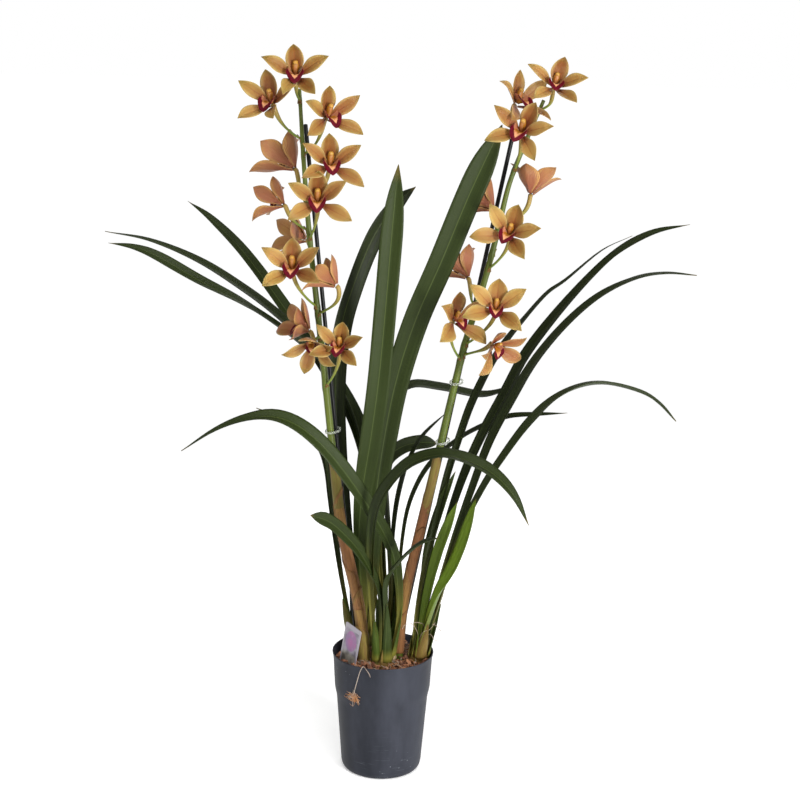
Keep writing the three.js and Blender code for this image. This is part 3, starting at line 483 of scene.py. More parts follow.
def add_tube(shell, points, radii, sides, shape=None, toward=(1, 0, 0), **more):
    """A closed round tube through points. shape(i, angle) scales the radius."""
    last = len(points) - 1
    rings, along, side = [], [], []
    start = Vector(toward)
    for i, centre in enumerate(points):
        tangent = (points[min(i + 1, last)] - points[max(i - 1, 0)]).normalized()
        start = square_to(tangent, start)
        other = tangent.cross(start)
        for angle in angles(sides):
            radius = radii[i] * (shape(i, angle) if shape else 1)
            rings.append(swing(centre, start, other, radius, angle))
            along.append(i / last)
            side.append(math.cos(angle))
    faces = ring_faces(last + 1, sides)
    faces.append(list(range(sides))[::-1])
    faces.append([last * sides + k for k in range(sides)])
    shell.add(rings, faces, along=along, across=side, **more)


def add_rod(shell, path, radius, sides, steps, **more):
    """A thin strand along a smooth line, with rounded ends."""
    line = Line(path)
    points = [line.point(t) for t in shares(steps)]
    radii = [radius * (0.35 if i in (0, steps) else 1) for i in range(steps + 1)]
    add_tube(shell, points, radii, sides, **more)


# ---- materials
def srgb(code):
    """A linear colour from its hex code."""
    parts = [int(code[i:i + 2], 16) / 255 for i in (0, 2, 4)]
    linear = [c / 12.92 if c <= 0.04045 else ((c + 0.055) / 1.055) ** 2.4 for c in parts]
    return (*linear, 1.0)


class Finish:
    """A material built from nodes, with short calls for the usual ones."""

    def __init__(self, name, roughness, specular=0.5, subsurface=(), **settings):
        self.material = bpy.data.materials.new(name)
        self.material.use_nodes = True
        self.tree = self.material.node_tree
        self.shader = self.tree.nodes["Principled BSDF"]
        self.shader.inputs["Roughness"].default_value = roughness
        self.shader.inputs["Specular IOR Level"].default_value = specular
        for key, value in zip(("Subsurface Weight", "Subsurface Scale"), subsurface):
            self.shader.inputs[key].default_value = value
        for key, value in settings.items():
            self.shader.inputs[key].default_value = value

    def node(self, kind, inputs=(), **settings):
        made = self.tree.nodes.new(kind)
        for key, value in settings.items():
            setattr(made, key, value)
        for key, value in dict(inputs).items():
            if isinstance(value, bpy.types.NodeSocket):
                self.tree.links.new(value, made.inputs[key])
            else:
                made.inputs[key].default_value = value
        return made

    def marks(self, *names):
        nodes = [self.node("ShaderNodeAttribute", attribute_name=name) for name in names]
        return [node.outputs["Fac"] for node in nodes]

    def place(self, scale=(1, 1, 1)):
        where = self.node("ShaderNodeTexCoord").outputs["Object"]
        return self.node("ShaderNodeMapping", {"Vector": where, "Scale": scale}).outputs[0]

    def noise(self, scale, detail=3.0, roughness=0.55, stretch=(1, 1, 1), where=None):
        at = where or self.place(stretch)
        settings = {"Vector": at, "Scale": scale, "Detail": detail, "Roughness": roughness}
        return self.node("ShaderNodeTexNoise", settings).outputs["Fac"]

    def math(self, operation, a, b=0.0):
        return self.node("ShaderNodeMath", {0: a, 1: b}, operation=operation).outputs[0]

    def times(self, a, b):
        return self.math("MULTIPLY", a, b)

    def absolute(self, a):
        return self.math("ABSOLUTE", a)

    def plus(self, a, b):
        return self.math("ADD", a, b)

    def dots(self, scale, feature="F1"):
        settings = {"Vector": self.place(), "Scale": scale}
        return self.node("ShaderNodeTexVoronoi", settings, feature=feature).outputs["Distance"]

    def band(self, value, low, high, to_low=0.0, to_high=1.0):
        """value from low to high becomes to_low to to_high, smoothly."""
        inputs = {"Value": value, "From Min": low, "From Max": high,
                  "To Min": to_low, "To Max": to_high}
        return self.node("ShaderNodeMapRange", inputs, interpolation_type="SMOOTHSTEP").outputs[0]

    def blend(self, share, a, b, strength=None):
        """From a to b, each a socket or the hex code of a colour. strength scales the share."""
        if strength is not None:
            share = self.times(share, strength)
        a, b = (srgb(value) if isinstance(value, str) else value for value in (a, b))
        return self.node("ShaderNodeMix", {0: share, 6: a, 7: b}, data_type="RGBA").outputs[2]

    def join(self, x, y, z=0.0):
        return self.node("ShaderNodeCombineXYZ", {"X": x, "Y": y, "Z": z}).outputs[0]

    def colour(self, value):
        self.tree.links.new(value, self.shader.inputs["Base Color"])

    def rough(self, value):
        self.tree.links.new(value, self.shader.inputs["Roughness"])

    def bump(self, height, distance_mm, strength=1.0):
        inputs = {"Height": height, "Distance": distance_mm * MM, "Strength": strength}
        made = self.node("ShaderNodeBump", inputs)
        self.tree.links.new(made.outputs[0], self.shader.inputs["Normal"])


def veins(finish, across, along, count, wander):
    """Fine lines that run along a blade: 1 on a vein and 0 between."""
    drift = finish.noise(1, 2, where=finish.join(finish.times(along, 5), finish.times(across, 2)))
    shifted = finish.plus(across, finish.times(drift, wander))
    wave = finish.math("SINE", finish.times(shifted, count * math.pi))
    return finish.math("POWER", finish.absolute(wave), 5)


def tepal_finish():
    f = Finish("tepal_waxy", 0.45, 0.3, subsurface=(0.1, 0.002))
    f.shader.inputs["Subsurface Radius"].default_value = (1.0, 0.45, 0.2)
    along, across, back, tone, blush = f.marks("along", "across", "back", "tone", "edge")
    away = f.absolute(across)
    patch = f.noise(70, 4)
    gold = f.blend(tone, "754810", "ae8c48")
    gold = f.blend(f.band(patch, 0.35, 0.7), gold, "8f6a30", 0.4)
    # Paler towards the sides and palest on the rim: partly the tepal's own pale margins, partly
    # painted light on its thin, lit edges. The tip turns olive.
    pale = f.blend(f.band(away, 0.45, 0.95, 0, 0.55), gold, "b5a562")
    pale = f.blend(f.band(along, 0.72, 1.0, 0, 0.55), pale, "958744")
    pale = f.blend(f.band(away, 0.9, 1.0, 0, 0.6), pale, "d2bd84")
    # Rosy brown towards the foot and down the middle: partly the tepal's own rosy base, partly
    # painted shade where the tepals meet in the bloom's hollow centre.
    rosy = f.times(f.band(along, 0.62, 0.04), f.band(away, 1.0, 0.1, 0.45, 1.0))
    front = f.blend(rosy, pale, "853e28", 0.85)
    lines = veins(f, across, along, 9, 0.14)
    front = f.blend(f.times(lines, f.band(along, 1.0, 0.1, 0.15, 0.55)), front, "72361a")
    midrib = f.times(f.band(away, 0.13, 0.0), f.band(along, 1.0, 0.2, 0.15, 0.6))
    front = f.blend(midrib, front, "7b3c18")
    glow = f.times(blush, f.band(f.noise(38, 3), 0.3, 0.62, 0.25, 1.0))
    front = f.blend(glow, front, "a8584c", 0.55)
    # The back is darker towards the foot: partly its own colour, partly painted shade where the
    # tepals meet.
    rear = f.blend(f.band(along, 1.0, 0.1), "aa8248", "8c5734")
    rear = f.blend(f.band(patch, 0.4, 0.7), rear, "965a40", 0.45)
    rear = f.blend(glow, rear, "a05a48", 0.7)
    # Paler towards the sides: partly the tepal's own margins, partly painted light on its thin
    # edges.
    rear = f.blend(f.band(away, 0.55, 1.0, 0, 0.75), rear, "b8924f")
    rear = f.blend(lines, rear, "6e2f26", 0.75)
    f.colour(f.blend(back, front, rear))
    f.rough(f.band(patch, 0.3, 0.8, 0.36, 0.55))
    f.bump(f.plus(f.times(lines, 0.7), f.noise(220, 3)), 0.35, 0.9)
    return f.material


def lip_finish():
    f = Finish("lip_velvet", 0.55, 0.12, subsurface=(0.03, 0.001))
    along, across, edge = f.marks("along", "across", "edge")
    away = f.absolute(across)
    grain = f.noise(260, 3)
    # The pale middle is widest in the throat and runs out to a point near the front.
    limit = f.band(along, 0.4, 0.84, 0.6, -0.08)
    limit = f.plus(limit, f.times(f.math("SUBTRACT", grain, 0.5), 0.22))
    middle = f.band(f.math("SUBTRACT", away, limit), 0.05, -0.05)
    cream = f.blend(f.band(along, 0.3, 0.66), "a8701f", "d0956a")
    dots = f.dots(800)
    spot = f.times(f.band(dots, 0.5, 0.3), f.band(away, 0.1, 0.5, 0.35, 1))
    cream = f.blend(spot, cream, "93242a", 0.75)
    lines = veins(f, across, along, 15, 0.05)
    side = f.blend(lines, "b9805c", "862a30", 0.7)
    maroon = f.blend(grain, "38000b", "66001a")
    flank = f.blend(f.band(along, 0.4, 0.5), side, maroon)
    colour = f.blend(middle, flank, cream)
    rim = f.band(edge, 0.7, 0.2)
    f.colour(f.blend(rim, colour, "b0625c", 0.3))
    f.bump(f.plus(f.noise(420, 4), f.times(lines, 0.4)), 0.3, 0.8)
    return f.material


def column_finish():
    f = Finish("column_waxy", 0.42, 0.35, subsurface=(0.12, 0.002))
    along, tone = f.marks("along", "tone")
    body = f.blend(f.band(along, 0.1, 0.75), "774410", "8a5a12")
    body = f.blend(f.band(f.absolute(*f.marks("across")), 0.7, 0.98), body, "b98258", 0.5)
    speck = f.times(f.band(f.noise(900, 2), 0.58, 0.66), 0.5)
    body = f.blend(speck, body, "8a3026")
    f.colour(f.blend(tone, body, "ad8434"))
    f.bump(f.noise(400, 3), 0.2, 0.5)
    return f.material


def leaf_finish():
    f = Finish("leaf_strap", 0.4, 0.14)
    along, across, back, tone = f.marks("along", "across", "back", "tone")
    away = f.absolute(across)
    ribs = veins(f, across, along, 11, 0.01)
    streak = f.noise(1, 3, where=f.join(f.times(along, 7), f.times(across, 9), tone))
    green = f.blend(tone, "0c1005", "283311")
    green = f.blend(f.band(tone, 1.0, 1.4), green, "6a8420")
    green = f.blend(f.band(streak, 0.35, 0.7), green, "2e3915", 0.35)
    green = f.blend(ribs, green, "48552a", 0.14)
    foot = f.times(f.band(along, 0.22, 0.0), f.band(tone, 0.0, 1.0, 0.55, 1.0))
    green = f.blend(foot, green, "726c2c")
    keel = f.times(f.band(away, 0.06, 0.0), 0.3)
    green = f.blend(keel, green, "64733c")
    tip = f.times(f.band(along, 0.965, 1.0), 0.8)
    green = f.blend(tip, green, "5f5023")
    under = f.blend(ribs, "242c14", "424f28", 0.2)
    f.colour(f.blend(back, green, under, 0.45))
    f.rough(f.band(streak, 0.3, 0.8, 0.38, 0.54))
    f.bump(f.plus(ribs, f.noise(300, 2)), 0.2, 0.5)
    return f.material


def sheath_finish():
    f = Finish("sheath_papery", 0.55, 0.2)
    along, across, tone = f.marks("along", "across", "tone")
    streak = f.noise(1, 4, 0.6, where=f.join(f.times(along, 2), f.times(across, 14), tone))
    ramp = f.node("ShaderNodeValToRGB", {"Fac": f.math("DIVIDE", tone, 1.25)})
    stops = ((0.0, "5d6326"), (0.25, "826330"), (0.5, "7d4a2e"), (0.8, "676127"), (1.0, "c4ae8c"))
    marks = ramp.color_ramp.elements
    while len(marks) < len(stops):
        marks.new(0.5)
    for stop, (at, code) in zip(marks, stops):
        stop.position, stop.color = at, srgb(code)
    body = f.blend(f.band(streak, 0.42, 0.66), ramp.outputs["Color"], "5d3622", 0.7)
    body = f.blend(f.band(along, 0.8, 1.0), body, "5f3a22", 0.5)
    lines = veins(f, across, along, 17, 0.02)
    f.colour(f.blend(lines, body, "8f7c48", 0.35))
    f.bump(f.plus(streak, lines), 0.4, 0.8)
    return f.material


def stem_finish():
    f = Finish("spike_fleshy", 0.42, 0.25, subsurface=(0.05, 0.002))
    along, tone = f.marks("along", "tone")
    patch = f.noise(60, 3, stretch=(1, 1, 0.25))
    green = f.blend(f.band(patch, 0.3, 0.7), "3e4915", "556020")
    stalk = f.blend(f.band(along, 0.2, 1.0), "66752b", "8b7238")
    f.colour(f.blend(tone, green, stalk))
    f.bump(f.noise(300, 3, stretch=(1, 1, 0.1)), 0.2, 0.5)
    return f.material


def pot_finish():
    f = Finish("pot_moulded", 0.5, 0.1)
    cloud = f.noise(22, 4, 0.6, stretch=(1, 1, 0.35))
    grey = f.blend(f.band(cloud, 0.3, 0.75), "22242a", "34363e")
    specks = f.dots(170)
    dust = f.times(f.band(specks, 0.12, 0.05), f.band(f.noise(14, 2), 0.52, 0.66))
    scuff = f.band(f.noise(30, 5, 0.7, stretch=(1, 1, 16)), 0.58, 0.7)
    scuff = f.times(scuff, f.band(f.noise(8, 2), 0.42, 0.7))
    grey = f.blend(scuff, grey, "80868f", 0.22)
    f.colour(f.blend(dust, grey, "a4a7ad", 0.4))
    f.rough(f.plus(f.band(cloud, 0.3, 0.8, 0.44, 0.58), f.times(scuff, 0.2)))
    f.bump(f.plus(f.noise(420, 3), f.times(scuff, 0.6)), 0.12, 0.5)
    return f.material


def bark_finish():
    f = Finish("bark_chip", 0.85)
    tone, = f.marks("tone")
    grain = f.noise(160, 5, 0.65, stretch=(1, 1, 3))
    brown = f.blend(f.band(tone, 0, 1), "4c2416", "b47c5a")
    brown = f.blend(f.band(grain, 0.45, 0.75), brown, "c29270", 0.6)
    # Much darker where the grain is low, in the hollows of the bump: partly the bark's dark
    # fissures, partly painted shade in those hollows.
    f.colour(f.blend(f.band(grain, 0.45, 0.25), brown, "2c150c", 0.7))
    f.bump(grain, 0.8, 1.0)
    return f.material


def stake_finish():
    f = Finish("stake_coated", 0.4, 0.2)
    marks = f.noise(40, 4, stretch=(1, 1, 0.2))
    f.colour(f.blend(f.band(marks, 0.45, 0.8), "070808", "1d1f20"))
    f.bump(f.noise(180, 3, stretch=(1, 1, 0.15)), 0.15, 0.6)
    return f.material


def tie_finish():
    f = Finish("tie_clear", 0.2, **{"Transmission Weight": 0.85, "IOR": 1.3})
    f.colour(f.blend(f.noise(200, 2), "c9cfc2", "e9ece2"))
    f.bump(f.noise(300, 2), 0.1, 0.4)
    return f.material


def label_finish():
    f = Finish("label_printed", 0.32, **{"Coat Weight": 0.3})
    along, across = f.marks("along", "across")
    soft = f.noise(90, 3)
    petal = f.dots(95, "SMOOTH_F1")
    pink = f.blend(f.band(petal, 0.25, 0.6), "87407a", "74507c")
    pink = f.blend(f.band(soft, 0.5, 0.7), pink, "9c7898", 0.35)
    grey = f.blend(f.band(soft, 0.35, 0.65), "56524b", "8f8a80")
    oval = f.plus(f.math("POWER", f.times(f.math("SUBTRACT", along, 0.69), 5.2), 2),
                  f.math("POWER", f.times(across, 1.5), 2))
    lilac = f.blend(f.band(soft, 0.35, 0.65), "544c5c", "837a88")
    lilac = f.blend(f.band(oval, 1.2, 1.0), lilac, pink)
    panel = f.blend(f.band(along, 0.4, 0.5), grey, lilac)
    border = f.math("MAXIMUM", f.band(f.absolute(across), 0.8, 0.86), f.band(along, 0.9, 0.93))
    f.colour(f.blend(border, panel, "8f8a93"))
    f.bump(soft, 0.08, 0.3)
    return f.material


def root_finish():
    f = Finish("root_dry", 0.8)
    tone, = f.marks("tone")
    grain = f.noise(500, 3)
    tan = f.blend(f.band(tone, 0, 1), "a8713f", "a5988a")
    f.colour(f.blend(f.band(grain, 0.45, 0.7), tan, "5f3720", 0.4))
    f.bump(grain, 0.3, 0.8)
    return f.material


def floor_finish():
    """Pale near the pot, where it also glows faintly and so lightens the shadows cast on it, and
    plain white light further out.
    """
    f = Finish("floor_pale", 0.8, 0.1, **{"Emission Color": (1, 1, 1, 1)})
    distance = f.node("ShaderNodeVectorMath", {0: f.place()}, operation="LENGTH").outputs["Value"]
    f.colour(f.blend(f.band(distance, 0.5, 1.4), "f2f2f1", "000000"))
    f.tree.links.new(f.band(distance, 0.12, 1.2, 0.36, 1.0), f.shader.inputs["Emission Strength"])
    return f.material


# ---- pot
def smooth_profile(corners, rounding=5.0, steps=5):
    """The corners of a profile with each one rounded off."""
    made = [corners[0]]
    for before, corner, after in zip(corners, corners[1:], corners[2:]):
        corner, ends = Vector(corner), []
        for side in (Vector(before) - corner, Vector(after) - corner):
            ends.append(corner + side.normalized() * min(rounding, side.length / 2.2))
        start, end = ends
        for k in range(steps + 1):
            t = k / steps
            made.append(tuple(start.lerp(corner, t).lerp(corner.lerp(end, t), t)))
    return made + [corners[-1]]


def turned(shell, profile, segments, x=0.0, y=0.0, **more):
    """A closed solid turned about the upright line through x and y. The profile starts and
    ends on that line."""
    points, along = [], []
    rings = profile[1:-1]
    for i, (r, z) in enumerate(rings):
        for angle in angles(segments):
            points.append(Vector((*polar(r, angle, x, y), z)))
            along.append(i / (len(rings) - 1))
    faces = ring_faces(len(rings), segments)
    for ring, (_, z) in ((0, profile[0]), (len(rings) - 1, profile[-1])):
        points.append(Vector((x, y, z)))
        along.append(ring / (len(rings) - 1))
        tip = len(points) - 1
        for k in range(segments):
            faces.append([ring * segments + k, ring * segments + (k + 1) % segments, tip])
    shell.add(points, faces, along=along, **more)


def build_pot():
    floor_top = POT_INSIDE[-1][1]
    shell = Shell()
    turned(shell, smooth_profile([(0, 0), *POT_OUTSIDE, *POT_INSIDE, (0, floor_top)]), POT_SEGMENTS)
    pot = shell.piece("pot_moulded", [pot_finish()], "pot_plastic", "pot")
    drills = Shell()
    for i in range(DRAIN["count"]):
        angle = math.radians(DRAIN["turn"] + 360 * i / DRAIN["count"])
        x, y = polar(DRAIN["ring"], angle)
        turned(drills, [(0, -1), (DRAIN["radius"], -1), (DRAIN["radius"], 4), (0, 4)], 24, x, y)
    cut_out(pot, drills)
    pot.data.set_sharp_from_angle(angle=math.radians(50))


def cut_out(piece, drills):
    """Cuts the drills' shapes out of a piece, for good."""
    mesh = drills.mesh("drills")
    turn_outwards(mesh)
    tool = in_scene("drills", mesh)
    cut = piece.modifiers.new("cut", "BOOLEAN")
    cut.operation, cut.solver, cut.object = "DIFFERENCE", "EXACT", tool
    graph = bpy.context.evaluated_depsgraph_get()
    made = bpy.data.meshes.new_from_object(piece.evaluated_get(graph))
    piece.modifiers.clear()
    piece.data = made
    bpy.data.objects.remove(tool)


# ---- bark, coir and roots
BARK_SIDES = 72
BARK_SHOULDER = 56.1  # radius at the top of its side
BARK_RINGS = (52, 46, 39, 32, 25, 18, 11, 5)  # radii of the rings in its uneven top
# How many there are, how far out they start, and how far out they may reach.
CHIPS, CHIP_SPREAD, CHIP_LIMIT = 520, 55, 56.3
COIR_STRANDS, COIR_SPREAD, COIR_LIMIT = 150, 50, 54.5
CHIP_SIZES = ((3.2, 9), (2, 4.6), (0.9, 2.4))  # length, width and thickness, each between two


def bark_height(x, y):
    """The top of the bark at a place, a little uneven."""
    return BARK_TOP - 1 + 2.2 * noise.noise(Vector((x * 0.05, y * 0.05, 3)))


# Dry fibres caught among the leaf bases at the right.
DRY_FIBRES = [
    ([[44, -10, 160], [36, -26, 186], [26, -32, 190], [22, -32, 184]], 0.32),
    ([[46, -8, 160], [48, -22, 184], [40, -30, 192], [31, -30, 190]], 0.26),
    ([[48, -6, 158], [56, -18, 184], [63, -22, 184], [68, -20, 177]], 0.34),
    ([[45, -8, 158], [54, -20, 174], [60, -22, 168], [66, -18, 164]], 0.28),
    ([[40, -12, 158], [46, -26, 178], [54, -26, 182], [61, -22, 190]], 0.24),
]


def build_bark():
    finish = bark_finish()
    ground = Shell()
    rings = POT_INSIDE[5:1:-1]  # from the pot's floor up to its collar
    wall = [(r - GAP, z + (GAP if i == 0 else 0)) for i, (r, z) in enumerate(rings)]
    wall.append((BARK_SHOULDER, BARK_TOP - 3))
    points = [Vector((0, 0, wall[0][1]))]
    for r, z in wall + [(r, None) for r in BARK_RINGS]:
        for angle in angles(BARK_SIDES):
            x, y = polar(r, angle)
            lump = 1.3 * noise.noise(Vector((x * 0.3, y * 0.3, 1)))
            points.append(Vector((x, y, bark_height(x, y) - 2 + lump if z is None else z)))
    rows = len(wall) + len(BARK_RINGS)
    faces = ring_faces(rows, BARK_SIDES, first=1)
    points.append(Vector((0, 0, BARK_TOP - 3)))
    last = 1 + (rows - 1) * BARK_SIDES
    for k in range(BARK_SIDES):
        j = (k + 1) % BARK_SIDES
        faces.append([0, 1 + k, 1 + j])
        faces.append([len(points) - 1, last + k, last + j])
    ground.add(points, faces, tone=0.15)
    ground.piece("bark_bed", [finish], "bark", "potting_bark")

    draw = random.Random(41)
    chips = Shell()
    for _ in range(CHIPS):
        r = CHIP_SPREAD * math.sqrt(draw.random())
        x, y = polar(r, draw.uniform(0, 2 * math.pi))
        add_chip(chips, draw, Vector((x, y, bark_height(x, y) + draw.uniform(-1.6, 3.4))))
    chips.piece("bark_chips", [finish], "bark", smooth=False)

    coir = Shell()
    for _ in range(COIR_STRANDS):
        add_coir(coir, draw)
    for path, radius in DRY_FIBRES:
        add_rod(coir, path, radius, 5, 18, tone=0.75)
    coir.piece("coir_strands", [root_finish()], "bark")


def add_coir(shell, draw):
    """One fibre that wanders over the bark."""
    angle, r = draw.uniform(0, 2 * math.pi), COIR_SPREAD * math.sqrt(draw.random())
    here = Vector((*polar(r, angle), 0))
    heading, path = draw.uniform(0, 2 * math.pi), []
    for step in range(5):
        if here.length > COIR_SPREAD + 3:
            break
        here = here + way(heading) * draw.uniform(3, 6)
        heading += draw.uniform(-0.9, 0.9)
        arch = draw.uniform(0, 4) if 0 < step < 4 else 0
        path.append(Vector((here.x, here.y, bark_height(here.x, here.y) + 1.2 + arch)))
    if len(path) > 2 and max(Vector((p.x, p.y)).length for p in path) < COIR_LIMIT:
        add_rod(shell, path, draw.uniform(0.22, 0.5), 5, 10, tone=draw.random())


def add_chip(shell, draw, centre):
    """One wedge of bark with broken ends."""
    long, wide, thick = (draw.uniform(*limits) for limits in CHIP_SIZES)
    turn = Quaternion((0, 0, 1), draw.uniform(0, 2 * math.pi))
    turn = turn @ Quaternion((1, 0, 0), draw.uniform(-0.6, 0.6))
    turn = turn @ Quaternion((0, 1, 0), draw.uniform(-0.5, 0.5))
    points = []
    for x in (-1, -0.35, 0.4, 1):
        pinch = 1 - 0.35 * abs(x)
        for y, z in ((-1, -1), (1, -1), (1, 1), (-1, 1)):
            jag = Vector([draw.uniform(-most, most) for most in (0.16, 0.2, 0.25)])
            p = Vector((x, y * pinch, z * pinch)) + jag
            points.append(centre + turn @ Vector((p.x * long / 2, p.y * wide / 2, p.z * thick / 2)))
    faces = [[0, 1, 2, 3], [12, 13, 14, 15], *ring_faces(4, 4)]
    reach = max(Vector((p.x, p.y)).length for p in points)
    if reach < CHIP_LIMIT:
        shell.add(points, faces, tone=draw.random())


# Path, radius, sides, steps and tone of each.
ROOT_STRANDS = [
    ([[-20, -48, 141], [-22, -56.3, 147], [-25.8, -55, 139], [-29.8, -50.8, 122],
      [-32.5, -48.4, 109]], 0.38, 7, 40, 1.0),
    ([[-32, -48.9, 112], [-36.1, -45.6, 106], [-39.7, -42.3, 101]], 0.3, 6, 16, 0.5),
    ([[-32, -48.9, 112], [-34, -47.2, 104], [-34.3, -46, 98]], 0.3, 6, 16, 0.5),
    ([[-31.5, -49.3, 112], [-29, -50.5, 106], [-26.3, -51.6, 101]], 0.3, 6, 16, 0.5),
    ([[-21, -56, 146.6], [-18, -59.4, 144], [-14.5, -60, 139], [-13.5, -59.6, 135]],
     0.26, 6, 16, 0.8),
]
TUFT_MIDDLE, TUFT_FIBRES = (-32.5, 0, 106), 52
# The pot's radii behind it, evenly spaced over a rise from its foot.
TUFT_WALL = [55, 56.4, 57.3, 58.2]
TUFT_WALL_FOOT, TUFT_WALL_RISE = 94, 40
TUFT_TONES = (0, 0.1, 0.2, 0.35, 0.9)


def build_loose_root():
    """A dry root over the rim that ends in a tuft of fibres, which lie on the pot's wall."""
    shell, draw = Shell(), random.Random(7)
    for path, radius, sides, steps, tone in ROOT_STRANDS:
        add_rod(shell, path, radius, sides, steps, tone=tone)
    knot = Vector(TUFT_MIDDLE)
    for k in range(TUFT_FIBRES):
        start = knot + Vector((draw.gauss(0, 2.4), 0, draw.gauss(0, 2.8)))
        heading = Vector((draw.gauss(-0.3, 0.8), 0, draw.gauss(-0.7, 0.5))).normalized()
        path = [start]
        for _ in range(3):
            heading = (heading + Vector((draw.gauss(0, 0.5), 0, draw.gauss(0, 0.5)))).normalized()
            path.append(path[-1] + heading * draw.uniform(1.6, 6 if k % 7 == 0 else 3.4))
        for p in path:
            up = clamp((p.z - TUFT_WALL_FOOT) / TUFT_WALL_RISE)
            wall = level_line(TUFT_WALL, up) + 0.9
            p.y = -math.sqrt(max(wall ** 2 - p.x ** 2, 0)) - draw.uniform(0, 2.2)
        add_rod(shell, path, draw.uniform(0.16, 0.34), 5, 9, tone=draw.choice(TUFT_TONES))
    shell.piece("root_tuft", [root_finish()], "dry_root", "loose_root")


# ---- leaves
LEAF_COLUMNS, LEAF_ROW = 9, 9  # points across a leaf, and mm from row to row
LEAF_FOLD = (58, 20)  # degrees that its halves rise, at the foot and from the middle on
LEAF_SWELL = 28  # mm along its edge waves for each radian
SHEATH_TOPS = ((195, 262), (165, 225))  # how high green and dry ones reach
SHEATH_RADII = (7.4, 3.4)  # at the foot and at the top
SCALE_HEIGHTS = (22, 46)
SCALE_TONES = (0.0, 0.0, 0.25, 0.5)


def leaf_width_share(t, taper):
    base = 0.4 + 0.6 * min(1, t / 0.45) ** 0.8
    tip = 1 if t < taper else 1 - ((t - taper) / (1 - taper)) ** 2.4
    return max(base * tip, 0.03)


def add_leaf(shell, leaf, seed):
    """A strap leaf: folded like a V at its base, nearly flat higher up, pointed at its tip."""
    draw = random.Random(seed)
    line = Line(leaf["path"])
    length = sum((Vector(a) - Vector(b)).length for a, b in zip(leaf["path"], leaf["path"][1:]))
    steps = max(24, int(length / LEAF_ROW))
    across = across_steps(LEAF_COLUMNS)
    edge = math.radians(leaf["edge"])
    phase, ripple = draw.uniform(0, 6), draw.uniform(0.2, 0.6)
    rows, normals = [], []
    for t in shares(steps):
        centre, tangent = line.point(t), line.tangent(t)
        side = square_to(tangent, way(edge))
        side.rotate(Quaternion(tangent, math.radians(level_line(leaf["twist"], t))))
        up = side.cross(tangent)
        half = leaf["width"] / 2 * leaf_width_share(t, leaf["taper"])
        fold = math.radians(mix(*LEAF_FOLD, min(1, t / 0.5)))
        row = []
        for s in across:
            keel = math.sqrt(s * s + 0.006) - 0.077
            swell = math.sin(t * length / LEAF_SWELL + phase + (1.2 if s > 0 else 0))
            rise = half * math.sin(fold) * keel + ripple * ease(0.2, 0.5, t) * swell * s * s
            row.append(centre + side * (half * math.cos(fold) * s) + up * rise)
        rows.append(row)
        normals.append(up)

    def thickness(t, s):
        return LEAF_THICKNESS * (1 - 0.55 * s * s) * (1 - 0.4 * t)

    add_blade(shell, rows, across, normals, thickness, tone=leaf["tone"])


def add_bulb(shell, place, seed):
    """The bulb, sunk in the bark to its shoulders, with papery scales that clasp it."""
    draw = random.Random(seed)
    radius, neck = place["radius"], place["neck"]
    foot = Vector((place["x"], place["y"], BULB_FOOT))
    widths = [0.8, 0.95, 1.0, 1.0, 0.97, 0.85, 0.6, 0.25]
    steps = 24
    points = [foot + Vector((0, 0, (neck - BULB_FOOT) * k / steps)) for k in range(steps + 1)]
    radii = [radius * spline(widths, t) for t in shares(steps)]
    phase = draw.uniform(0, 6)
    add_tube(shell, points, radii, 28, finish=1, tone=0.2,
             shape=lambda i, a: 1 + 0.03 * math.sin(7 * a + phase))
    for k in range(TORN_SCALES):
        add_bulb_scale(shell, place, foot, draw, k)


def add_bulb_scale(shell, place, foot, draw, k):
    """A papery scale round part of a bulb, rising to a torn point."""
    angle = 2 * math.pi / TORN_SCALES * k + draw.uniform(-0.4, 0.4)
    spread, tall = draw.uniform(0.45, 0.8), draw.uniform(*SCALE_HEIGHTS)
    across = across_steps(9)
    rows, normals = [], []
    for t in shares(14):
        grow = place["radius"] * mix(1.03, 0.6, ease(0.25, 1, t))
        grow = grow + 0.5 + 0.4 * k + 2.4 * ease(0.7, 1, t)
        open_angle = spread * (1 - t ** 2.2) + 0.03
        row = []
        for s in across:
            a = angle + s * open_angle
            torn = 1.6 * noise.noise(Vector((s * 3, k * 5, place["x"]))) * ease(0.6, 1, t)
            row.append(foot + Vector((*polar(grow, a), 16 + tall * t - 5 * s * s * t + torn)))
        rows.append(row)
        normals.append(way(angle))
    add_blade(shell, rows, across, normals, lambda t, s: 0.45, finish=1,
              tone=draw.choice(SCALE_TONES))


def add_leaf_sheath(shell, leaf, finish, tone, draw):
    """A short sheath rolled round the foot of a leaf, open down one side, with a pointed top."""
    line = Line(leaf["path"])
    top = line.at_height(draw.uniform(*SHEATH_TOPS[finish]))
    across, turn = across_steps(13), draw.uniform(0, 2 * math.pi)
    rows, middle = [], []
    for t in shares(14):
        centre, tangent = line.point(top * t), line.tangent(top * t)
        first = square_to(tangent, way(turn))
        other = tangent.cross(first)
        radius = mix(*SHEATH_RADII, t ** 0.7) + (0.8 if finish else 0) + 1.2 * ease(0.8, 1, t)
        reach = mix(2.1, 0.05, t ** 1.3)
        rows.append([swing(centre, first, other, radius, s * reach) for s in across])
        middle.append(centre)
    add_sleeve(shell, rows, across, middle, 0.5, tone=tone, finish=finish)


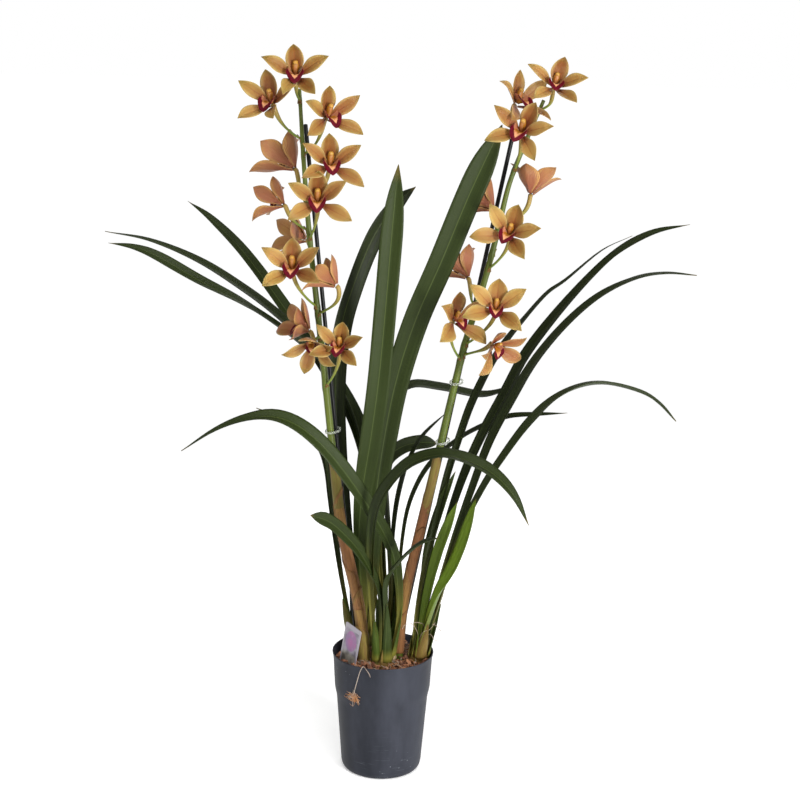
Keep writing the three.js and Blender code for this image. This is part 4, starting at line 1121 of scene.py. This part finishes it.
def build_growths():
    finishes = [leaf_finish(), sheath_finish()]
    for number, (name, place) in enumerate(GROWTHS.items()):
        shell = Shell()
        for k, leaf in enumerate(LEAVES[name]):
            add_leaf(shell, leaf, 100 * number + k)
            draw = random.Random(900 + 100 * number + k)
            add_leaf_sheath(shell, leaf, 0, draw.uniform(0.7, 1.2), draw)
            if k % 2 == 0:
                add_leaf_sheath(shell, leaf, 1, draw.choice((0.0, 0.2, 1.2, 1.2)), draw)
        add_bulb(shell, place, 500 + number)
        shell.piece("leaves_" + name, finishes, "leaf", "growth_" + name)


# ---- flower spikes
SPIKE_RINGS = 150
STALK_OUT, STALK_UP = 16, 8  # how a bloom's stalk leaves the spike
STALK_BEHIND, STALK_BELOW = 8, 14  # how it comes into the bloom
STALK_RADIUS, OVARY_RADIUS = 1.35, 2.5


def spike_radius(t):
    return mix(SPIKE_FOOT_RADIUS, SPIKE_TIP_RADIUS, t ** 1.3)


def bezier(a, b, c, d, t):
    u = 1 - t
    return a * u ** 3 + b * (3 * u * u * t) + c * (3 * u * t * t) + d * t ** 3


def add_pedicel(shell, line, bloom):
    """A bloom's stalk and ribbed ovary: out of the spike, up, and into the bloom from below."""
    base = bloom_frame(bloom)
    end = base["centre"] + base["forward"] * (RECEPTACLE_BACK - GAP)
    leaves_at = line.at_height(min(end.z - bloom["drop"], SPIKE_TOP - 4))
    start = line.point(leaves_at)
    away = Vector((end.x - start.x, end.y - start.y, 0))
    if away.length > STALK_OUT:
        away *= STALK_OUT / away.length
    lift = start + away + Vector((0, 0, STALK_UP))
    approach = end - base["forward"] * STALK_BEHIND - Vector((0, 0, STALK_BELOW))
    steps = 22
    points = [bezier(start, lift, approach, end, t) for t in shares(steps)]
    points.append(end + base["forward"] * 2.4)
    radii = [mix(STALK_RADIUS, OVARY_RADIUS, ease(0.35, 0.85, t)) for t in shares(steps)]
    radii.append(OVARY_RADIUS + 0.2)

    def ribs(i, angle):
        return 1 + 0.07 * ease(0.4, 0.8, i / steps) * math.cos(6 * angle)

    add_tube(shell, points, radii, 18, tone=1.0, shape=ribs)
    add_bract(shell, start, away.normalized(), spike_radius(leaves_at))


def add_bract(shell, start, outward, radius):
    """The small pointed bract under a stalk."""
    side = outward.cross(Vector((0, 0, 1)))
    across = across_steps(5)
    rows = []
    for t in shares(6):
        out = radius + 0.2 + 3.4 * t * t
        half = 2.6 * (1 - t ** 1.6) + 0.1
        place = start + outward * out + Vector((0, 0, -3 + 8.5 * t))
        rows.append([place + side * (half * s) - outward * (0.9 * s * s) for s in across])
    add_blade(shell, rows, across, [outward] * len(rows), lambda t, s: 0.5, finish=1, tone=0.3)


def build_spikes():
    finishes = [stem_finish(), sheath_finish()]
    stake_black, clear = stake_finish(), tie_finish()
    for side, facts in SPIKES.items():
        line = Line(facts["path"])
        shell = Shell()
        heights = [b["at"][2] - 3 - b["drop"] for b in BLOOMS[side]]
        joints = [line.at_height(min(height, SPIKE_TOP - 4)) for height in heights]

        def swell(i, angle, joints=joints):
            near = min(abs(i / SPIKE_RINGS - joint) for joint in joints)
            return 1 + 0.14 * math.exp(-((near * 160) ** 2)) + 0.02 * math.sin(5 * angle)

        points = [line.point(t) for t in shares(SPIKE_RINGS)]
        radii = [spike_radius(t) for t in shares(SPIKE_RINGS)]
        add_tube(shell, points, radii, 20, shape=swell)
        for bloom in BLOOMS[side]:
            add_pedicel(shell, line, bloom)
        shell.piece("stem_" + side, finishes, "spike", "spike_" + side)
        build_sheaths(side, line, facts, finishes[1])
        build_stake(side, facts["stake"], stake_black)
    for name, height in TIES.items():
        build_tie(name, height, clear)


def build_sheaths(side, line, facts, finish):
    """Papery sheaths, each rolled round the spike and the foot of the next, with a pointed top."""
    shell, draw = Shell(), random.Random(len(side))
    turn, across = draw.uniform(0, 6), across_steps(29)
    count = len(facts["sheaths"])
    for i, tone in enumerate(facts["sheaths"]):
        low = 0.036 if i == 0 else (i + 0.3) / SPIKE_STEPS
        high = (i + 1.5) / SPIKE_STEPS
        turn += 2.4 + draw.uniform(-0.3, 0.3)
        rows, middle = [], []
        for t in shares(20):
            row = []
            for s in across:
                angle = turn + s * math.pi * 1.12
                point_up = math.cos(s * math.pi / 2) ** 2
                share = low + (high - low) * t * (0.92 + 0.45 * point_up)
                centre, tangent = line.point(share), line.tangent(share)
                first = square_to(tangent, Vector((1, 0, 0)))
                gape = 0.35 * (s + 1) + 1.1 * ease(0.8, 1, t) * point_up
                loose = 0.3 + facts["slack"] * (0.5 + 0.2 * (count - i) + gape)
                frill = 0.35 * ease(0.6, 1, t) * noise.noise(Vector((angle * 2, i * 3, t)))
                radius = spike_radius(share) + loose + frill
                row.append(swing(centre, first, tangent.cross(first), radius, angle))
            rows.append(row)
            middle.append(line.point(low + (high - low) * t))
        add_sleeve(shell, rows, across, middle, 0.4, tone=tone)
    shell.piece("bracts_" + side, [finish], "sheath", "sheaths_" + side)


def build_stake(side, ends, finish):
    """A slightly uneven cane with a rounded top."""
    foot, top = Vector(ends[0]), Vector(ends[1])
    count = 60
    points = [foot.lerp(top, i / count) for i in range(count + 1)]
    rough = [0.02 * noise.noise(Vector((i * 0.7, len(side), 0))) for i in range(count + 1)]
    radii = [STAKE_RADIUS * (1 + bump) for bump in rough]
    tangent = (top - foot).normalized()
    points[count] = top - tangent * (STAKE_RADIUS * 0.5)
    for k in range(1, 5):
        angle = k * math.pi / 8
        points.append(points[count] + tangent * (STAKE_RADIUS * 0.5 * math.sin(angle)))
        radii.append(STAKE_RADIUS * math.cos(angle) + 0.05)
    shell = Shell()
    add_tube(shell, points, radii, 16)
    shell.piece("cane_" + side, [finish], "stake", "stake_" + side)


# Above its middle, and out from its mean radius, all the way round the clip's rounded section.
CLIP_SECTION = (
    (-1.2, -0.25), (-1.4, 0), (-1.2, 0.25), (0, 0.35),
    (1.2, 0.25), (1.4, 0), (1.2, -0.25), (0, -0.3),
)
CLIP_ROOM = 2  # from the spike's foot radius to the clip


def build_tie(name, height, finish):
    """A clear clip that goes once round the spike and its stake."""
    facts = SPIKES[name.split("_")[0]]
    line = Line(facts["path"])
    on_spike = line.point(line.at_height(height))
    foot, top = (Vector(p) for p in facts["stake"])
    on_stake = foot.lerp(top, (height - foot.z) / (top.z - foot.z))
    middle = (on_spike + on_stake) / 2
    reach = on_stake - on_spike
    reach.z = 0
    long, wide = (half + SPIKE_FOOT_RADIUS + CLIP_ROOM for half in (reach.length / 2, 0))
    axis = reach.normalized()
    cross = Vector((-axis.y, axis.x, 0))
    segments, ring = 64, []
    for level, proud in CLIP_SECTION:
        for angle in angles(segments):
            spot = axis * ((long + proud) * math.cos(angle))
            spot = spot + cross * ((wide + proud) * math.sin(angle))
            ring.append(middle + spot + Vector((0, 0, level)))
    shell = Shell()
    shell.add(ring, ring_faces(len(CLIP_SECTION), segments, closed=True))
    shell.piece("clip_" + name, [finish], "tie", "tie_" + name)


# ---- blooms
TEPAL_ROWS, TEPAL_COLUMNS = 24, 13
LIP_ROWS, LIP_COLUMNS = 30, 17


def bloom_frame(bloom):
    """Where a bloom's tepals join, and its own three directions."""
    a, b = math.radians(bloom["turn"]), math.radians(bloom["lift"])
    forward = Vector((math.sin(a) * math.cos(b), -math.cos(a) * math.cos(b), math.sin(b)))
    up = square_to(forward, Vector((0, 0, 1)))
    up.rotate(Quaternion(forward, -math.radians(bloom["roll"])))
    return {"centre": Vector(bloom["at"]), "forward": forward, "up": up, "right": up.cross(forward)}


def add_tepal(shell, base, shape, place, bloom, draw):
    """One cupped tepal. place: its bearing and lean."""
    bearing, curl = math.radians(place[0]), math.radians(shape["curl"])
    lean = math.radians(place[1]) - curl / 2
    up, right, forward = base["up"], base["right"], base["forward"]
    out = up * math.cos(bearing) + right * math.sin(bearing)
    side = right * math.cos(bearing) - up * math.sin(bearing)
    size, breadth = bloom["size"], bloom["breadth"]
    length = TEPAL_LENGTH * shape["length"] * size
    across = across_steps(TEPAL_COLUMNS)
    phase, sway, turn = draw.uniform(0, 6), draw.uniform(-2.2, 2.2), draw.uniform(-0.16, 0.16)
    hook = draw.uniform(-5, -0.5) if shape["curl"] < 0 else draw.uniform(1.5, 4)
    rows, normals = [], []
    for t in shares(TEPAL_ROWS):
        slope = lean + curl * t
        radius = RECEPTACLE_RADIUS + length * (math.sin(slope) - math.sin(lean)) / curl
        depth = shape["ahead"] + length * (math.cos(lean) - math.cos(slope)) / curl
        normal = forward * math.cos(slope) - out * math.sin(slope)
        middle = base["centre"] + out * radius + forward * depth
        middle += side * (sway * t * t) + normal * (hook * max(t - 0.7, 0) ** 2 / 0.09)
        half = TEPAL_WIDTH / 2 * shape["width"] * spline(shape["outline"], t) * size
        half *= mix(1, breadth, min(1, t / 0.7))
        cross = side * math.cos(turn * t) + normal * math.sin(turn * t)
        row = []
        for s in across:
            rise = (shape["hollow"] + 0.1) * half * (0.3 * abs(s) + 0.7 * s * s)
            rise -= 0.7 * math.exp(-(s / 0.13) ** 2) * ease(1, 0.4, t)
            swell = math.sin(7 * t + phase + (1.7 if s > 0 else 0))
            wave = shape["wave"] * size * ease(0.15, 0.5, t) * swell * s * s
            row.append(middle + cross * (half * s) + normal * (rise + wave))
        rows.append(row)
        normals.append(normal)

    def thickness(t, s):
        return TEPAL_THICKNESS * mix(1.15, 0.75, t) * (1 - 0.5 * s * s)

    blush = clamp(bloom["blush"] + draw.uniform(-0.12, 0.12))
    tone = clamp(draw.gauss(shape["gold"], 0.24))
    add_blade(shell, rows, across, normals, thickness, tone=tone, edge=lambda t, s: blush)


def in_lip(base, size, x, y, z):
    """A point right of, above and ahead of a bloom's centre, scaled about the lip's hinge."""
    across = base["centre"] + base["right"] * (size * x) + base["up"] * (size * y)
    return across + base["forward"] * (LIP_START + size * (z - LIP_START))


def add_lip(shell, bloom, base, draw):
    """The lip: side lobes up beside the column, and a front lobe that curls down."""
    across, steps = across_steps(LIP_COLUMNS), LIP_ROWS
    phase = draw.uniform(0, 6)
    middle = [rows_at(LIP, t) for t in shares(steps)]
    run = [0.0]
    for a, b in zip(middle, middle[1:]):
        run.append(run[-1] + math.hypot(b[0] - a[0], b[1] - a[1]))
    rows, normals = [], []
    for i, (below, ahead, half, rise) in enumerate(middle):
        t = i / steps
        a, b = middle[max(i - 1, 0)], middle[min(i + 1, steps)]
        slope = Vector((b[0] - a[0], b[1] - a[1])).normalized()
        normals.append(base["up"] * slope.y + base["forward"] * slope.x)
        frill = 0.7 * ease(0.5, 0.75, t)
        row = []
        for s in across:
            wave = frill * math.sin(13 * t + 5 * s + phase) * abs(s) ** 3
            keels = 1.1 * ease(0.05, 0.2, t) * ease(0.62, 0.5, t)
            keels *= math.exp(-((abs(s) - 0.2) / 0.09) ** 2)
            x = half * (1.25 * s - 0.25 * s ** 3)
            lobe = abs(s) ** mix(2.1, 1.35, ease(0.4, 0.65, t))
            row.append(in_lip(base, bloom["lip"], x, -below + rise * lobe + keels, ahead + wave))
        rows.append(row)

    def margin(t, s):
        i = round(t * steps)
        across_left = (1 - abs(s)) * math.hypot(middle[i][2], middle[i][3])
        return min(across_left, (run[-1] - run[i]) * 0.9)

    add_blade(shell, rows, across, normals, lambda t, s: 0.8 - 0.3 * abs(s), edge=margin)


def add_column(shell, bloom, base):
    """The column over the lip, with its rounded cap."""
    size = bloom["lip"]
    rings = [rows_at(COLUMN, t) for t in shares(16)]
    points = [in_lip(base, size, 0, COLUMN_REACH * r[0], COLUMN_REACH * r[1]) for r in rings]
    add_tube(shell, points, [size * r for _, _, r in rings], 16, finish=1, toward=base["up"],
             shape=lambda i, a: 1 + 0.12 * math.cos(2 * a + math.pi) - 0.12 * max(-math.cos(a), 0))
    axis = (points[-1] - points[-3]).normalized()
    crown = points[-1] + axis * (0.7 * size)
    dome = [k * math.pi / 16 - math.pi / 4 for k in range(13)]
    cap = [crown + axis * (size * 2.1 * math.sin(angle)) for angle in dome]
    radii = [size * 2.85 * max(math.cos(angle), 0.04) for angle in dome]
    add_tube(shell, cap, radii, 16, finish=1, tone=0.75, toward=base["up"],
             shape=lambda i, a: 1 - 0.12 * math.exp(-((math.sin(a)) / 0.25) ** 2))


def build_blooms():
    """Each bloom's tepals are one piece, and its lip with the column is another."""
    tepal, lip, column = tepal_finish(), lip_finish(), column_finish()
    for side, blooms in BLOOMS.items():
        for i, bloom in enumerate(blooms):
            draw = random.Random(1000 * len(side) + i)
            base = bloom_frame(bloom)
            shell = Shell()
            for shape, place in zip(TEPALS, bloom["tepals"]):
                add_tepal(shell, base, shape, place, bloom, draw)
            number = f"{side}_{i + 1:02d}"
            group = next((g for g in TANGLED[side] if i in g), [i])
            node = "_".join(["bloom", side] + [f"{k + 1:02d}" for k in group])
            shell.piece("tepals_" + number, [tepal], "tepal", node)
            lips = Shell()
            add_lip(lips, bloom, base, draw)
            add_column(lips, bloom, base)
            lips.piece("labellum_" + number, [lip, column], "lip", "lip_" + number)


# ---- label
def build_label():
    """A stiff plant label with rounded corners and plain panels."""
    turn = Matrix.Identity(3)
    for angle, axis in ((LABEL["bearing"], "Z"), (-LABEL["lean"], "X"), (LABEL["tilt"], "Y")):
        turn = turn @ Matrix.Rotation(math.radians(angle), 3, axis)
    half, tall, corner = LABEL["width"] / 2, LABEL["height"] / 2, LABEL["corner"]
    across = across_steps(15)
    rows, steps = [], 30
    for i in range(steps + 1):
        z = -tall + 2 * tall * (0.5 - 0.5 * math.cos(math.pi * i / steps))
        short = max(abs(z) - (tall - corner), 0)
        width = half - corner + math.sqrt(max(corner ** 2 - short ** 2, 0.0001))
        rows.append([Vector(LABEL["at"]) + turn @ Vector((width * s, 0, z)) for s in across])
    normals = [turn @ Vector((0, -1, 0))] * (steps + 1)
    shell = Shell()
    add_blade(shell, rows, across, normals, lambda t, s: LABEL["thickness"])
    heights = [(row[0] - rows[0][0]).length / LABEL["height"] for row in rows]
    shell.marks["along"] = [height for height in heights for _ in across] * 2
    label = shell.piece("label_card", [label_finish()], "label_card", "plant_label")
    label.data.set_sharp_from_angle(angle=math.radians(40))


# ---- studio
CAMERA_PLACE = (14, -1730, 850)
CAMERA_PITCH, CAMERA_ROLL = 13.05, 1.2  # degrees down, and anticlockwise
FRAME_PIXELS, FOCAL_PIXELS, SENSOR = 800, 1558, 36
FLOOR_HALF = 30.0  # metres, as are the lights' places and sizes
LIT_POINT = (0, 0, 0.45)
LIGHTS = (
    ("key", (0.0, -1.5, 2.6), (1.3, 1.3), 38),
    ("fill", (1.1, -1.5, 0.5), (0.3, 1.0), 42),
    ("back", (0.7, 1.9, 1.7), (1.2, 1.2), 14),
)


def studio_world():
    """White round the horizon and dimmer overhead."""
    world = bpy.data.worlds.new("studio")
    world.use_nodes = True
    nodes, links = world.node_tree.nodes, world.node_tree.links
    where = nodes.new("ShaderNodeTexCoord")
    parts = nodes.new("ShaderNodeSeparateXYZ")
    fade = nodes.new("ShaderNodeMapRange")
    fade.interpolation_type = "SMOOTHSTEP"
    for key, value in (("From Min", 0.1), ("From Max", 0.5), ("To Min", 1.0), ("To Max", 0.35)):
        fade.inputs[key].default_value = value
    links.new(where.outputs["Generated"], parts.inputs[0])
    links.new(parts.outputs["Z"], fade.inputs["Value"])
    links.new(fade.outputs[0], nodes["Background"].inputs["Strength"])
    nodes["Background"].inputs["Color"].default_value = (1, 1, 1, 1)
    return world


def build_studio():
    camera = bpy.data.cameras.new("camera")
    camera.sensor_width = SENSOR
    camera.lens = FOCAL_PIXELS / FRAME_PIXELS * SENSOR
    camera.clip_end = 100
    holder = in_scene("camera", camera)
    pitch = Matrix.Rotation(math.radians(90 - CAMERA_PITCH), 4, "X")
    roll = Matrix.Rotation(math.radians(CAMERA_ROLL), 4, "Z")
    holder.matrix_world = Matrix.Translation(Vector(CAMERA_PLACE) * MM) @ (pitch @ roll)
    bpy.context.scene.camera = holder

    mesh = bpy.data.meshes.new("floor")
    corners = [(x * FLOOR_HALF, y * FLOOR_HALF, 0) for x, y in ((-1, -1), (1, -1), (1, 1), (-1, 1))]
    mesh.from_pydata(corners, [], [(0, 1, 2, 3)])
    mesh.materials.append(floor_finish())
    floor = in_scene("floor", mesh)

    bpy.context.scene.world = studio_world()
    for name, place, size, power in LIGHTS:
        light = bpy.data.lights.new(name, "AREA")
        light.shape = "RECTANGLE"
        light.size, light.size_y = size
        light.energy = power
        lamp = in_scene(name, light)
        lamp.location = place
        lamp.rotation_mode = "QUATERNION"
        lamp.rotation_quaternion = (Vector(LIT_POINT) - Vector(place)).to_track_quat("-Z", "Y")
    bpy.context.scene.view_settings.view_transform = "Standard"


build_studio()
build_pot()
build_bark()
build_label()
build_loose_root()
build_growths()
build_spikes()
build_blooms()
